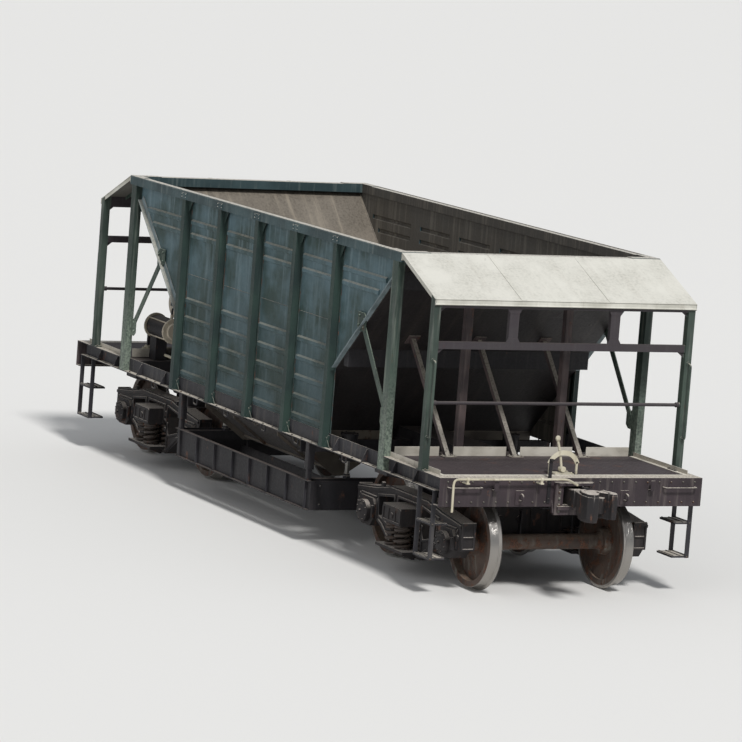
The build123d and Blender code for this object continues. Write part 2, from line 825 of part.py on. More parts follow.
def meter_inner_board():
    end = meter_half_length - meter_board
    low = meter_top_z - meter_board_height
    return block(-end, end, inner_board_y - meter_board / 2, inner_board_y + meter_board / 2,
                 low, low + inner_board_height)


def meter_cross_bar():
    half, bar_height, link = 40, 90, 20
    bar = block(lift_x - half, lift_x + half, -meter_board_y, meter_board_y,
                meter_top_z - bar_height, meter_top_z)
    link_low = meter_top_z - meter_board_height + inner_board_height
    links = both_sides(block(lift_x - half + 10, lift_x + half - 10, inner_board_y - link / 2,
                             inner_board_y + link / 2, link_low, meter_top_z - bar_height))
    return as_one([bar] + links)


def meter_upright():
    half = upright_width / 2
    y1 = side_outer_y - upright_face_gap
    return block(guide_x - half, guide_x + half, y1 - upright_width, y1, meter_top_z, upright_top_z)


# Lift rods: from the metering cross members up into the lift cylinders
def lift_rods():
    return four_corners(rod((lift_x, lift_y, meter_top_z), (lift_x, lift_y, rail_z + 1100), rod_diameter))


# Lift cylinders: upright air cylinders on the cross bearers
def lift_cylinders():
    low, high = rail_z + 880, rail_z + 1180
    barrel = rod((lift_x, lift_y, low), (lift_x, lift_y, high), lift_cylinder_diameter)
    bore_top = high - 70
    bore = rod((lift_x, lift_y, low - 1), (lift_x, lift_y, bore_top), rod_diameter + 2 * bearing_clearance)
    return four_corners(barrel - bore)


# Guides: sleeves below the side sill round the uprights of the metering frame
def guides():
    wall = 8
    half = upright_width / 2 + guide_clearance
    y1 = side_outer_y - upright_face_gap + guide_clearance
    y0 = y1 - 2 * half
    low, high = rail_z + 800, side_sill_bottom_z
    sleeve = block(guide_x - half - wall, guide_x + half + wall, y0 - wall, y1 + wall, low, high)
    sleeve -= block(guide_x - half, guide_x + half, y0, y1, low - 1, high + 1)
    return four_corners(sleeve)


# Coupler: shank through the headstock and a claw head whose jaws meet on the coupling plane
def coupler():
    shank_height, head_height = 170, 300
    head_start_x = coupling_plane_x - 295
    shank = block(shank_start_x, head_start_x + 20, -shank_half_width, shank_half_width,
                  coupler_z - shank_height / 2, coupler_z + shank_height / 2)
    head_outline = [
        # from the coupling plane, across
        (-295, -65), (-175, -185), (-35, -215), (95, -215), (145, -165), (125, -95), (55, -75),
        (15, -120), (-50, -130), (-100, -60), (-100, 60), (-35, 100), (35, 110), (45, 165),
        (-35, 195), (-175, 175), (-295, 65),
    ]
    head = plan_profile([(coupling_plane_x + dx, y) for dx, y in head_outline],
                        coupler_z - head_height / 2, coupler_z + head_height / 2)
    return shank + head


# Air reservoir: tank across the rear platform on two stands
def reservoir():
    x = -(deck_inner_x + end_post_x) / 2
    tank = rod((x, -reservoir_length / 2, reservoir_z), (x, reservoir_length / 2, reservoir_z),
               reservoir_diameter)
    stand_y, stand_width, stand_length = 500, 60, 240
    seat_z = reservoir_z - reservoir_diameter / 4
    stands = both_sides(block(x - stand_length / 2, x + stand_length / 2, stand_y - stand_width / 2,
                              stand_y + stand_width / 2, side_sill_top_z, seat_z))
    return as_one([tank] + stands)


# Brake cylinder: air cylinder across the rear platform below the reservoir, with its rod and foot
def brake_cylinder():
    x = -(deck_inner_x + end_post_x) / 2
    foot_height = 30
    z = side_sill_top_z + foot_height + brake_cylinder_diameter / 2
    y0 = -brake_cylinder_length / 2 - 40
    y1 = y0 + brake_cylinder_length
    barrel = rod((x, y0, z), (x, y1, z), brake_cylinder_diameter)
    cap = rod((x, y1 - 30, z), (x, y1, z), brake_cylinder_diameter + 40)
    piston_rod = rod((x, y1, z), (x, y1 + 190, z), 60)
    foot = block(x - 120, x + 120, y0 + 40, y1 - 60, side_sill_top_z, z)
    return as_one([barrel, cap, piston_rod, foot])


# Door cylinders: in the open bay below the rear slope, each with its rod, lever and foot
def door_cylinder():
    x1 = -bogie_centre_x - 100
    x0 = x1 + door_cylinder_length
    y, z = door_cylinder_y, door_cylinder_z
    barrel = rod((x1, y, z), (x0, y, z), door_cylinder_diameter)
    foot = block(-bogie_centre_x - 90, -bogie_centre_x + 90, y - 70, y + 70, side_sill_top_z - deck_plate, z)
    piston_rod = rod((x1 - 150, y, z), (x1, y, z), 50)
    lever_x = x1 - 150
    lever = block(lever_x - 15, lever_x + 15, y - 35, y + 35, side_sill_top_z + 40, z + 60)
    return as_one([barrel, foot, piston_rod, lever])


# Brake pipe: along the inside of the centre sill, out past each headstock, on clips
def brake_pipe():
    z = coupler_z + 78
    end_x = headstock_face_x + 110
    pipe = rod((-end_x, brake_pipe_y, z), (end_x, brake_pipe_y, z), brake_pipe_diameter)
    pieces = [pipe]
    for x in pipe_clip_places:
        clip = block(x - 20, x + 20, brake_pipe_y, centre_sill_web_gap / 2, z - 8, z + 8)
        pieces += both_ends(clip)
    cock = block(end_x - 60, end_x, brake_pipe_y - 30, brake_pipe_y + 30, z - 90, z + 30)
    pieces += both_ends(cock)
    return as_one(pieces)


# Steps: two stiles and two treads below each platform corner
def step_stiles():
    low, high = rail_z + 370, side_sill_bottom_z
    y0, y1 = side_outer_y - 50, side_outer_y
    return [
        block(step_x0, step_x0 + step_bar, y0, y1, low, high),
        block(step_x1 - step_bar, step_x1, y0, y1, low, high),
    ]


def step_treads():
    low, high = rail_z + 370, side_sill_bottom_z
    inner_y, tread_height = side_outer_y - 200, 20
    return [
        block(step_x0 + step_bar, step_x1 - step_bar, inner_y, side_outer_y, z, z + tread_height)
        for z in (low, (low + high) / 2)
    ]


for end_name, side in (("front", 1), ("rear", -1)):
    x = side * bogie_centre_x
    write(f"side_frames_{end_name}", both_sides(side_frame(x)))
    boxes = [axle_box(x, dx) for dx in (-wheelbase / 2, wheelbase / 2)]
    write(f"axle_boxes_{end_name}", [copy for box in boxes for copy in both_sides(box)])
    write(f"springs_{end_name}", [copy for spring in spring_nest(x) for copy in both_sides(spring)])
    write(f"bogie_bolster_{end_name}", [bogie_bolster(x)])
    write(f"brake_beams_{end_name}", [brake_beam(x, -1), brake_beam(x, 1)])
    for place, dx in (("inner", -side * wheelbase / 2), ("outer", side * wheelbase / 2)):
        write(f"wheelset_{end_name}_{place}", [wheelset(x + dx)])

write("centre_sill", [centre_sill()])
write("side_sills", both_sides(side_sill()))
write("headstocks", both_ends(headstock()))
write("body_bolsters", both_ends(body_bolster()))
write("cross_bearers", four_corners(cross_bearer()))
write("platforms", both_ends(platform()))
write("top_frame", [top_frame()])
write("side_sheets", both_sides(side_sheet()))
write("bay_sheets", four_corners(bay_sheet()))
post_places = [n * side_post_pitch for n in range(-posts_from_middle, posts_from_middle + 1)]
write("side_posts", [copy for x in post_places for copy in both_sides(side_post(x))])
write("corner_posts", four_corners(corner_post()))
write("slope_sheets", both_ends(slope_sheet()))
stiffener_places = (full_sheet_half_length + lower_stiffener_offset, bogie_centre_x)
write("slope_stiffeners", [copy for x in stiffener_places for copy in both_ends(slope_stiffener(x))])
braces = [copy for y in brace_places for copy in both_ends(slope_brace(y))]
write("slope_stanchions", four_corners(slope_stanchion()) + braces)
write("visors", both_ends(visor()))
write("end_frames", both_ends(end_frame()))
write("ridge", [ridge()])
throat_plates, aprons = throat()
write("throat_plates", throat_plates)
write("hinge_aprons", aprons)
write("door_hinges", door_hinges())
outer_door = door(outer_hinge_y, door_meeting_y + door_gap / 2)
inner_door = door(inner_hinge_y, door_meeting_y - door_gap / 2)
write("door_outer_left", [outer_door])
write("door_outer_right", [mirror(outer_door, about=Plane.XZ)])
write("door_inner_left", [inner_door])
write("door_inner_right", [mirror(inner_door, about=Plane.XZ)])
write("metering_side_boards", both_sides(meter_side_board()))
write("metering_end_boards", both_ends(meter_end_board()))
write("metering_inner_boards", both_sides(meter_inner_board()))
write("metering_cross_bars", both_ends(meter_cross_bar()))
write("metering_uprights", four_corners(meter_upright()))
write("lift_rods", lift_rods())
write("lift_cylinders", lift_cylinders())
write("metering_guides", guides())
write("couplers", both_ends(coupler()))
write("air_reservoir", [reservoir()])
write("brake_cylinder", [brake_cylinder()])
write("door_cylinders", both_sides(door_cylinder()))
write("brake_pipe", [brake_pipe()])
write("step_stiles", [copy for stile in step_stiles() for copy in four_corners(stile)])
write("step_treads", [copy for tread in step_treads() for copy in four_corners(tread)])
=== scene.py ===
import math

import bpy
import numpy as np
from mathutils import Matrix, Vector


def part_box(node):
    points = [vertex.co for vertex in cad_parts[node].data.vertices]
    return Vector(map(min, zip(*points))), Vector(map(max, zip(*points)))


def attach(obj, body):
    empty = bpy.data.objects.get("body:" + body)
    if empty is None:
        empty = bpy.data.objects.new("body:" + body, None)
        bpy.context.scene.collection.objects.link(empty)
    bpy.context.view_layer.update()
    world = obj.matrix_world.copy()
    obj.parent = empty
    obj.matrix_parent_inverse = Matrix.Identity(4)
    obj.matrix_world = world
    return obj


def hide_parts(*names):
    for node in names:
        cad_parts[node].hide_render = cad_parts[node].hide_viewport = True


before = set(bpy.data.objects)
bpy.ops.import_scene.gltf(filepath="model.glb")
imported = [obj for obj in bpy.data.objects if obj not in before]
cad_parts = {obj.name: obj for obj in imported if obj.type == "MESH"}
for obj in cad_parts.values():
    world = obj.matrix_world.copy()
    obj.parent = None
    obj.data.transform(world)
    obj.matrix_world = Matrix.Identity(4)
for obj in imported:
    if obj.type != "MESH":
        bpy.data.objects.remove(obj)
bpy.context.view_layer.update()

print("frame loaded:", len(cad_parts), "nodes")

# the wagon's main planes in metres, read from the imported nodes
railTop = 0.028
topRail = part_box("top_frame")
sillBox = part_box("side_sills")
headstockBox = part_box("headstocks")
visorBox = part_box("visors")
sideY = topRail[1][1]                    # outer face of posts, rails and sills
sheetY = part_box("bay_sheets")[1][1] - 0.022   # outer face of the side sheets, inside the pressed ribs
bodyTop = topRail[1][2]
railLow = topRail[0][2]
endRailX = topRail[1][0]
sillLow, sillHigh = sillBox[0][2], sillBox[1][2]
headX = headstockBox[1][0] - 0.045       # outer face of the headstock, inside the striker
bogieX = 3.325
axleZ = railTop + 0.475
halfBase = 0.925


# light and camera

view = {
    "azimuth": -26.9, "elevation": 7.5, "roll": -4.5,      # degrees, as the wagon stands to the lens
    "distance": 49.35, "target": (0.02, 0.0, 1.66),        # metres
    "lens": 212.0, "sensor": 36.0,                         # millimetres
}


def makeCamera():
    turn, rise, roll = (math.radians(view[k]) for k in ("azimuth", "elevation", "roll"))
    target = Vector(view["target"])
    outward = Vector((math.cos(rise) * math.cos(turn), math.cos(rise) * math.sin(turn), math.sin(rise)))
    right = Vector((0, 0, 1)).cross(outward).normalized()
    down = right.cross(outward)
    rolledRight = right * math.cos(roll) + down * math.sin(roll)
    rolledUp = outward.cross(rolledRight)
    lens = bpy.data.cameras.new("camera")
    lens.lens = view["lens"]
    lens.sensor_width = view["sensor"]
    lens.clip_end = 500
    camera = bpy.data.objects.new("camera", lens)
    stance = Matrix((rolledRight, rolledUp, outward)).transposed().to_4x4()
    camera.matrix_world = Matrix.Translation(target + outward * view["distance"]) @ stance
    bpy.context.collection.objects.link(camera)
    bpy.context.scene.camera = camera


studio = {
    "floorHalf": 260.0, "floorHex": "E6E4E0", "skyHex": "E2E7EE", "skyStrength": 0.44,
    "suns": [
        # name, direction towards the light, strength, soft angle in degrees
        ("keyLight", (0.66, -0.10, 0.745), 2.65, 9),
        ("sideFill", (0.35, -0.90, 0.40), 0.50, 60),
    ],
}


def linear(hexColour, alpha=1.0):
    # sRGB hex to linear light: v / 12.92 under 0.04045, else ((v + 0.055) / 1.055) to the power 2.4
    values = [int(hexColour[i:i + 2], 16) / 255 for i in (0, 2, 4)]
    return tuple(v / 12.92 if v <= 0.04045 else ((v + 0.055) / 1.055) ** 2.4 for v in values) + (alpha,)


def addNode(tree, kind, sockets=None, **settings):
    # one node with its settings, and its sockets set to a value or joined to another node's socket
    item = tree.nodes.new("ShaderNode" + kind)
    for key, value in settings.items():
        setattr(item, key, value)
    for key, value in (sockets or {}).items():
        if isinstance(value, bpy.types.NodeSocket):
            tree.links.new(value, item.inputs[key])
        else:
            item.inputs[key].default_value = value
    return item


def makeStudio():
    world = bpy.data.worlds.new("studioSky")
    world.use_nodes = True
    sky = world.node_tree.nodes["Background"]
    sky.inputs["Color"].default_value = linear(studio["skyHex"])
    sky.inputs["Strength"].default_value = studio["skyStrength"]
    bpy.context.scene.world = world
    for name, direction, strength, softness in studio["suns"]:
        lamp = bpy.data.lights.new(name, "SUN")
        lamp.energy = strength
        lamp.angle = math.radians(softness)
        holder = bpy.data.objects.new(name, lamp)
        holder.rotation_euler = Vector(direction).to_track_quat("Z", "Y").to_euler()
        bpy.context.collection.objects.link(holder)
    half = studio["floorHalf"]
    mesh = bpy.data.meshes.new("floor")
    corners = [(-half, -half, 0), (half, -half, 0), (half, half, 0), (-half, half, 0)]
    mesh.from_pydata(corners, [], [(0, 1, 2, 3)])
    floor = bpy.data.objects.new("floor", mesh)
    material = bpy.data.materials.new("studioPaper")   # matt seamless paper
    material.use_nodes = True
    shader = material.node_tree.nodes["Principled BSDF"]
    shader.inputs["Base Color"].default_value = linear(studio["floorHex"])
    shader.inputs["Roughness"].default_value = 0.95
    mesh.materials.append(material)
    bpy.context.collection.objects.link(floor)
    bpy.context.scene.view_settings.view_transform = "Standard"


makeCamera()
makeStudio()
print("camera and studio made")


# materials

def millimetres(size):
    # texture scale for features of that size, when the coordinates are metres
    return 1000.0 / size


def noise(tree, place, size, detail=3.0, roughness=0.55, stretch=(1, 1, 1), shift=0.0):
    # fractal noise whose features are about size millimetres, longer where stretch is under 1
    mapped = addNode(tree, "Mapping", {"Vector": place, "Scale": stretch, "Location": (shift, shift, shift)})
    made = addNode(tree, "TexNoise", {
        "Vector": mapped.outputs[0], "Scale": millimetres(size), "Detail": detail, "Roughness": roughness})
    return made.outputs[0]


def ramp(tree, value, low, high, top=1.0):
    # 0 below low, top above high, smooth between
    made = addNode(tree, "MapRange", {"Value": value, "From Min": low, "From Max": high, "To Min": 0.0,
                                      "To Max": top}, interpolation_type="SMOOTHSTEP")
    return made.outputs[0]


def times(tree, a, b):
    return addNode(tree, "Math", {0: a, 1: b}, operation="MULTIPLY").outputs[0]


def component(tree, vector, index):
    # one of a vector's three numbers
    return addNode(tree, "SeparateXYZ", {0: vector}).outputs[index]


def blendColour(tree, factor, under, over):
    # mixes two colours, each a hex or a socket
    colours = [linear(c) if isinstance(c, str) else c for c in (under, over)]
    made = addNode(tree, "Mix", {0: factor, 6: colours[0], 7: colours[1]}, data_type="RGBA")
    return made.outputs[2]


# Coated steel that has stood outdoors: base coat mottled by chalking, rain streaks down the plates,
# rust blooms with dark rims, stone dust on what faces up, lightening low on the body that is partly dust and
# partly a painted highlight, painted shade low on the plates and on what faces down, a fine orange-peel bump.
def weatheredSteel(name, recipe):
    material = bpy.data.materials.new(name)
    material.use_nodes = True
    tree = material.node_tree
    shader = tree.nodes["Principled BSDF"]
    place = addNode(tree, "TexCoord").outputs["Object"]
    normal = addNode(tree, "NewGeometry").outputs["Normal"]
    facing, height = component(tree, normal, 2), component(tree, place, 2)
    mottle = noise(tree, place, recipe["mottleSize"])
    fine = noise(tree, place, recipe["grainSize"], 4.0, 0.65)
    streaks = noise(tree, place, recipe["streakSize"], 4.0, 0.6, recipe["streakStretch"], 3.1)
    blooms = noise(tree, place, recipe["rustSize"], 6.0, 0.68, (1, 1, 0.6), 7.7)
    rust = ramp(tree, blooms, recipe["rustFrom"], recipe["rustFrom"] + 0.10)
    settled = times(tree, ramp(tree, facing, 0.25, 0.9), ramp(tree, fine, 0.15, 0.62, recipe["dust"]))
    layers = [
        # how much, colour, from the base coat outwards
        (ramp(tree, mottle, 0.35, 0.68), recipe["chalked"]),
        (ramp(tree, fine, 0.52, 0.80, 0.45), recipe["chalked"]),
        (ramp(tree, streaks, 0.50, 0.74, recipe["streaks"]), recipe["streakColour"]),
        (rust, blendColour(tree, ramp(tree, fine, 0.4, 0.65), recipe["rust"], recipe["rustLight"])),
        (settled, recipe["dustColour"]),
    ]
    # lighter towards the bottom: partly thrown dust, partly a painted highlight
    if "lowDust" in recipe:
        low, high, amount = recipe["lowDust"]
        thrownDustAndHighlight = times(tree, ramp(tree, height, high, low, amount), ramp(tree, fine, 0.25, 0.7))
        layers.append((thrownDustAndHighlight, recipe["dustColour"]))
    if "lowShade" in recipe:
        # painted shade that thickens towards the bottom of the plates
        low, high, amount, tone = recipe["lowShade"]
        layers.append((ramp(tree, height, high, low, amount), tone))
    if "between" in recipe:
        # the bars between two posts, told by their distance from the middle line
        half, tone = recipe["between"]
        across = addNode(tree, "Math", {0: component(tree, place, 1)}, operation="ABSOLUTE").outputs[0]
        layers.append((ramp(tree, across, half + 0.01, half, 0.85), tone))
    if "inside" in recipe:
        # faces that look back at the wagon's middle line
        inward = times(tree, component(tree, normal, 1), component(tree, place, 1))
        rubbed = blendColour(tree, ramp(tree, streaks, 0.45, 0.75, 0.7), *recipe["inside"])
        layers.append((ramp(tree, inward, -0.4, -0.7, 0.92), rubbed))
    # painted shade: faces that look downwards are darkened towards the under tone
    if "under" in recipe:
        layers.append((ramp(tree, facing, -0.15, -0.45, 0.9), recipe["under"]))
    colour = recipe["base"]
    for amount, tone in layers:
        colour = blendColour(tree, amount, colour, tone)
    dull = addNode(tree, "MapRange", {"Value": fine, "From Min": 0.3, "From Max": 0.7,
                                      "To Min": recipe["gloss"], "To Max": recipe["gloss"] + 0.2}).outputs[0]
    peel = addNode(tree, "Bump", {"Strength": recipe["bump"], "Distance": 0.004, "Height": fine}).outputs[0]
    pitted = addNode(tree, "Bump", {"Strength": 0.35, "Distance": 0.006, "Height": rust, "Normal": peel})
    links = {"Base Color": colour, "Roughness": dull, "Normal": pitted.outputs[0]}
    for key, socket in links.items():
        tree.links.new(socket, shader.inputs[key])
    shader.inputs["Metallic"].default_value = recipe.get("metal", 0.0)
    return material


def paint(base, chalked, **changes):
    recipe = {
        "base": base, "chalked": chalked, "streakColour": "8A8D84", "rust": "3B2A22", "rustLight": "6A4330",
        "dustColour": "B9B3A4", "mottleSize": 520, "grainSize": 26, "streakSize": 70, "rustSize": 260,
        "streaks": 0.35, "rustFrom": 0.66, "dust": 0.75, "gloss": 0.55, "bump": 0.12,
        "streakStretch": (1, 1, 0.06),
    }
    recipe.update(changes)
    return recipe


# what sliding stone leaves on the plates inside
rubbedBare = {
    "streakColour": "978D7D", "streaks": 0.75, "streakSize": 80, "rust": "46352A", "rustLight": "6A4B36",
    "dust": 0.5, "dustColour": "9B9182", "gloss": 0.42, "metal": 0.25,
}

finishes = {
    # name: recipe, each a real coat or bare metal of the wagon
    # alkyd topcoat on pressed side sheets, faded to slate green, streaked by rain, with painted shade
    # darkening it towards the bottom
    "sidePaint": paint("223833", "4E656C", streaks=0.6, streakColour="6E8289", mottleSize=420,
                       rustFrom=0.67, lowShade=(1.2, 3.3, 0.6, "182B27"), dust=0.6,
                       inside=("4D4740", "7C7468")),
    # edge angles of the end bays, in a paler grey coat than the sheets
    "edgePaint": paint("5B686B", "7C898D", streaks=0.4, streakColour="939C9D", mottleSize=220,
                       rustFrom=0.62, dust=0.8),
    # the same coat on posts and top rail, less chalked, so darker
    "postPaint": paint("132624", "21362F", streakSize=45, streakColour="40524D", dust=0.6),
    # the top rail, its upper face grey-white with powder where stones are tipped over it
    "railPaint": paint("24373A", "394D50", streakSize=45, streakColour="7A837F", dust=0.97,
                       dustColour="CFC8BC", inside=("4A453F", "726A5F")),
    # brushed green on corner posts, lighter on their lower half, partly where hands and weather wore it and
    # partly as a painted highlight
    "cornerPaint": paint("1E2C26", "34443B", streakSize=40, rustFrom=0.62, lowDust=(1.2, 2.5, 0.5),
                         dustColour="A3AF9E"),
    # leaning braces and stanchions behind the decks, primer gone brown under powder
    "bracePaint": paint("332A2B", "554846", streakSize=40, streakColour="7B6D69", rustFrom=0.58, dust=0.8),
    # end frames: green posts, and bars between them that rust and powder have turned brown-grey
    "endPaint": paint("24302A", "3E4B42", streakSize=40, rustFrom=0.6, between=(1.455, "33292F"), dust=0.8),
    # pale coat of the end aprons under limestone powder, with painted shade on their undersides
    "visorPaint": paint("ADABA0", "CFCDC3", streakColour="928B7D", streaks=0.45, rustFrom=0.70, dust=0.7,
                        dustColour="D6D3C9", mottleSize=420, grainSize=30, streakSize=110,
                        streakStretch=(0.06, 1, 0.06), under="4A4843"),
    # slope plates rubbed bare by sliding stone, streaked down the slope, with near-black painted shade on the
    # faces below
    "hopperPlate": paint("4E4841", "6B645B", rustFrom=0.60, streakStretch=(0.05, 1, 0.05), under="19161A",
                         **rubbedBare),
    # door and ridge plates, rubbed the same way, streaked across the wagon, with painted shade on the faces
    # below
    "doorPlate": paint("4E4841", "6B645B", rustFrom=0.57, streakStretch=(1, 0.05, 0.05), under="231F20",
                       **rubbedBare),
    # sill coat that thrown dust has nearly covered on its lower flange
    "sillPaint": paint("1E1D22", "2E2D31", dust=0.98, dustColour="C9C0B2", streaks=0.4,
                       streakColour="6A655F", rustFrom=0.6),
    # dark bitumen coat on the end decks, pinkish dust trodden in
    "deckPaint": paint("231D1F", "302829", dust=0.3, dustColour="75696A", rustFrom=0.58, streaks=0.1),
    # angle bars round the decks, white with powder
    "rimDust": paint("A19B8F", "C4BEB2", dust=0.98, dustColour="DCD5C8", streaks=0.5, streakColour="7D766A",
                     rustFrom=0.64, streakStretch=(1, 0.3, 1)),
    # brown-grey primer of the headstocks
    "headPaint": paint("281F23", "3A2F33", dust=0.98, dustColour="D2C9BB", streaks=0.45,
                       streakColour="766E68", rustFrom=0.6),
    # near-black frame coat with brake dust
    "framePaint": paint("121014", "1B181C", streakColour="3E3838", dust=0.6, dustColour="70665F",
                        rustFrom=0.62, rustSize=180),
    # cast steel of bogies, brown-black, sand texture, powder on every ledge, pale enough to stand in for
    # sunlit ledge tops: partly dust, partly painted highlight
    "castSteel": paint("151214", "241F1F", streakColour="3E3531", dust=0.95, dustColour="D0C6BB",
                       rustFrom=0.57, rustSize=120, grainSize=12, bump=0.35, gloss=0.62),
    # oil-hardened spring bar, dusty
    "springSteel": paint("2A2523", "423934", streakColour="5F5348", dust=0.5, dustColour="7F7264",
                         rustFrom=0.55, rustSize=60, grainSize=9, gloss=0.5, metal=0.3),
    # beige enamel of air vessels
    "vesselPaint": paint("A69C8A", "BDB4A3", streakColour="7A7061", streaks=0.55, dust=0.7,
                         dustColour="CDC5B6", rustFrom=0.63),
    # cream primer on levers, rods and cylinders
    "leverPaint": paint("AEA68F", "C9C2AE", streakColour="6E634D", streaks=0.5, rustFrom=0.6, dust=0.6),
    # ground and greased rod
    "greasedRod": paint("8C8B88", "A3A19C", streakColour="4A443C", streaks=0.5, rustFrom=0.72, dust=0.25,
                        gloss=0.25, metal=0.85, bump=0.03),
    # zinc-dipped small fasteners, dulled
    "fastenerSteel": paint("33322F", "4A4743", rustFrom=0.5, rustSize=40, grainSize=8, gloss=0.5,
                           metal=0.4),
    # weld metal, brushed and painted over
    "weldMetal": paint("2B3B3B", "42504F", rustFrom=0.5, rustSize=60, grainSize=8, gloss=0.5),
}
coats = {name: weatheredSteel(name, recipe) for name, recipe in finishes.items()}


# Rolled wheel steel: brown rusty web, and a tread and flange bright from the rail, told by the radius
def wheelSteel(name, centreX):
    material = weatheredSteel(name, paint("3B302A", "52433A", rustFrom=0.5, rustSize=90, rust="3A2619",
                                          rustLight="6B4430", dust=0.5, dustColour="8A7B6B", grainSize=14,
                                          bump=0.3, gloss=0.6))
    tree = material.node_tree
    shader = tree.nodes["Principled BSDF"]
    place = addNode(tree, "TexCoord").outputs["Object"]
    arm = addNode(tree, "VectorMath", {0: place, 1: (centreX, 0, axleZ)}, operation="SUBTRACT").outputs[0]
    flat = addNode(tree, "VectorMath", {0: arm, 1: (1, 0, 1)}, operation="MULTIPLY").outputs[0]
    radius = addNode(tree, "VectorMath", {0: flat}, operation="LENGTH").outputs["Value"]
    polish = ramp(tree, radius, 0.462, 0.470)
    web = shader.inputs["Base Color"].links[0].from_socket
    dull = shader.inputs["Roughness"].links[0].from_socket
    tree.links.new(blendColour(tree, polish, web, "9C9893"), shader.inputs["Base Color"])
    worn = addNode(tree, "MapRange", {"Value": polish, "To Min": 1.0, "To Max": 0.45}).outputs[0]
    tree.links.new(times(tree, dull, worn), shader.inputs["Roughness"])
    tree.links.new(times(tree, polish, 0.9), shader.inputs["Metallic"])
    return material


# which CAD nodes wear each coat; the rest wear frame paint
nodesOfCoat = {
    "sidePaint": "side_sheets bay_sheets", "postPaint": "side_posts", "railPaint": "top_frame",
    "cornerPaint": "corner_posts", "endPaint": "end_frames", "visorPaint": "visors",
    "hopperPlate": "slope_sheets", "bracePaint": "slope_stanchions", "greasedRod": "lift_rods",
    "doorPlate": "ridge throat_plates hinge_aprons door_outer_left door_outer_right "
                 "door_inner_left door_inner_right",
    "sillPaint": "side_sills step_stiles step_treads", "headPaint": "headstocks", "deckPaint": "platforms",
    "castSteel": "couplers side_frames_front side_frames_rear axle_boxes_front axle_boxes_rear "
                 "bogie_bolster_front bogie_bolster_rear brake_beams_front brake_beams_rear",
    "springSteel": "springs_front springs_rear", "vesselPaint": "air_reservoir",
}
coatOfNode = {node: coat for coat, nodes in nodesOfCoat.items() for node in nodes.split()}


def coatNodes():
    for name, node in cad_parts.items():
        if name.startswith("wheelset"):
            low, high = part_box(name)
            material = wheelSteel("wheelSteel_" + name[9:], (low[0] + high[0]) / 2)
        else:
            material = coats[coatOfNode.get(name, "framePaint")]
        node.data.materials.clear()
        node.data.materials.append(material)


coatNodes()
print("nodes coated:", len(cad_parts))

# shape tools: each gives points and groups of faces as whole arrays

axisX, axisY, axisZ = np.eye(3)


def pick(sizes, names):
    # the named values of a dictionary of sizes
    return [sizes[name] for name in names.split()]


def unit(v):
    v = np.asarray(v, float)
    return v / np.linalg.norm(v, axis=-1, keepdims=True)


def ringGrid(rows, sides):
    # quads between neighbouring rings of a closed-round grid, wound so that they face outwards
    i, j = np.meshgrid(np.arange(rows - 1), np.arange(sides), indexing="ij")
    k = (j + 1) % sides
    quads = np.stack([i * sides + j, i * sides + k, (i + 1) * sides + k, (i + 1) * sides + j], -1)
    return quads.reshape(-1, 4)


def carried(path, radius, sides, tangent, across):
    # circle carried along a path: point = path(u) + r(u) (cos v side(u) + sin v up(u)), ends closed
    side = unit(np.cross(tangent, across))
    up = np.cross(tangent, side)
    v = np.arange(sides) * 2 * np.pi / sides
    ring = np.cos(v)[None, :, None] * side[:, None] + np.sin(v)[None, :, None] * up[:, None]
    points = path[:, None] + np.broadcast_to(radius, len(path))[:, None, None] * ring
    last = (len(path) - 1) * sides
    ends = np.array([np.arange(sides)[::-1], last + np.arange(sides)])
    return points.reshape(-1, 3), [ringGrid(len(path), sides), ends]


def tube(path, radius, sides=10, across=None):
    # round bar along points in space, its rings squared to the axis that the path follows least
    path = np.asarray(path, float)
    tangent = unit(np.gradient(path, axis=0))
    if across is None:
        steepest = np.abs(tangent).max(0)
        across = np.eye(3)[np.argmin(steepest)] if steepest.min() < 0.95 else (0.48, 0.60, 0.64)
    return carried(path, radius, sides, tangent, across)


def turned(profile, origin, axis, sides=24):
    # profile of distance along the axis and radius, turned round it
    profile = np.asarray(profile, float)
    axis = unit(axis)
    path = np.asarray(origin, float) + profile[:, :1] * axis
    across = np.eye(3)[np.argmin(np.abs(axis))]
    return carried(path, profile[:, 1], sides, np.broadcast_to(axis, path.shape), across)


def pin(origin, axis, start, end, radius, sides=12):
    # round pin between two distances along its axis
    return turned([(start, radius), (end, radius)], origin, axis, sides)


def rounded(points, bend, steps=5):
    # path whose corners are quarter-like arcs: each corner becomes a quadratic curve of reach bend
    points = np.asarray(points, float)
    path = [points[:1]]
    t = np.linspace(0, 1, steps)[:, None]
    for before, corner, after in zip(points, points[1:], points[2:]):
        start = corner + unit(before - corner) * bend
        end = corner + unit(after - corner) * bend
        path.append((1 - t) ** 2 * start + 2 * t * (1 - t) * corner + t ** 2 * end)
    path.append(points[-1:])
    return np.concatenate(path)


def bar(low, high):
    # box between two corners
    low, high = np.minimum(low, high), np.maximum(low, high)
    pick = np.array([[(n >> a) & 1 for a in range(3)] for n in range(8)])
    faces = np.array([[0, 2, 3, 1], [4, 5, 7, 6], [0, 1, 5, 4], [2, 6, 7, 3], [0, 4, 6, 2], [1, 3, 7, 5]])
    return np.where(pick, high, low).astype(float), [faces]


def block(centre, *half):
    # box about its centre, with its three half sizes
    return bar(np.subtract(centre, half), np.add(centre, half))


def staple(foot, out, across, radius, bend, squared):
    # round bar bent to a U: from its foot out, across and back
    path = np.cumsum([foot, out, across, np.negative(out)], axis=0)
    return tube(rounded(path, bend), radius, 8, squared)


def oblong(low, high):
    # outline of a rectangle between two corners
    return [low, (high[0], low[1]), high, (low[0], high[1])]


def counterClockwise(outline):
    outline = np.asarray(outline, float)
    after = np.roll(outline, -1, axis=0)
    area = (outline[:, 0] * after[:, 1] - outline[:, 1] * after[:, 0]).sum()
    return outline if area > 0 else outline[::-1]


def mirrored(half):
    # outline closed by the mirror image of its right half
    return [*half, *((-a, b) for a, b in half[::-1])]


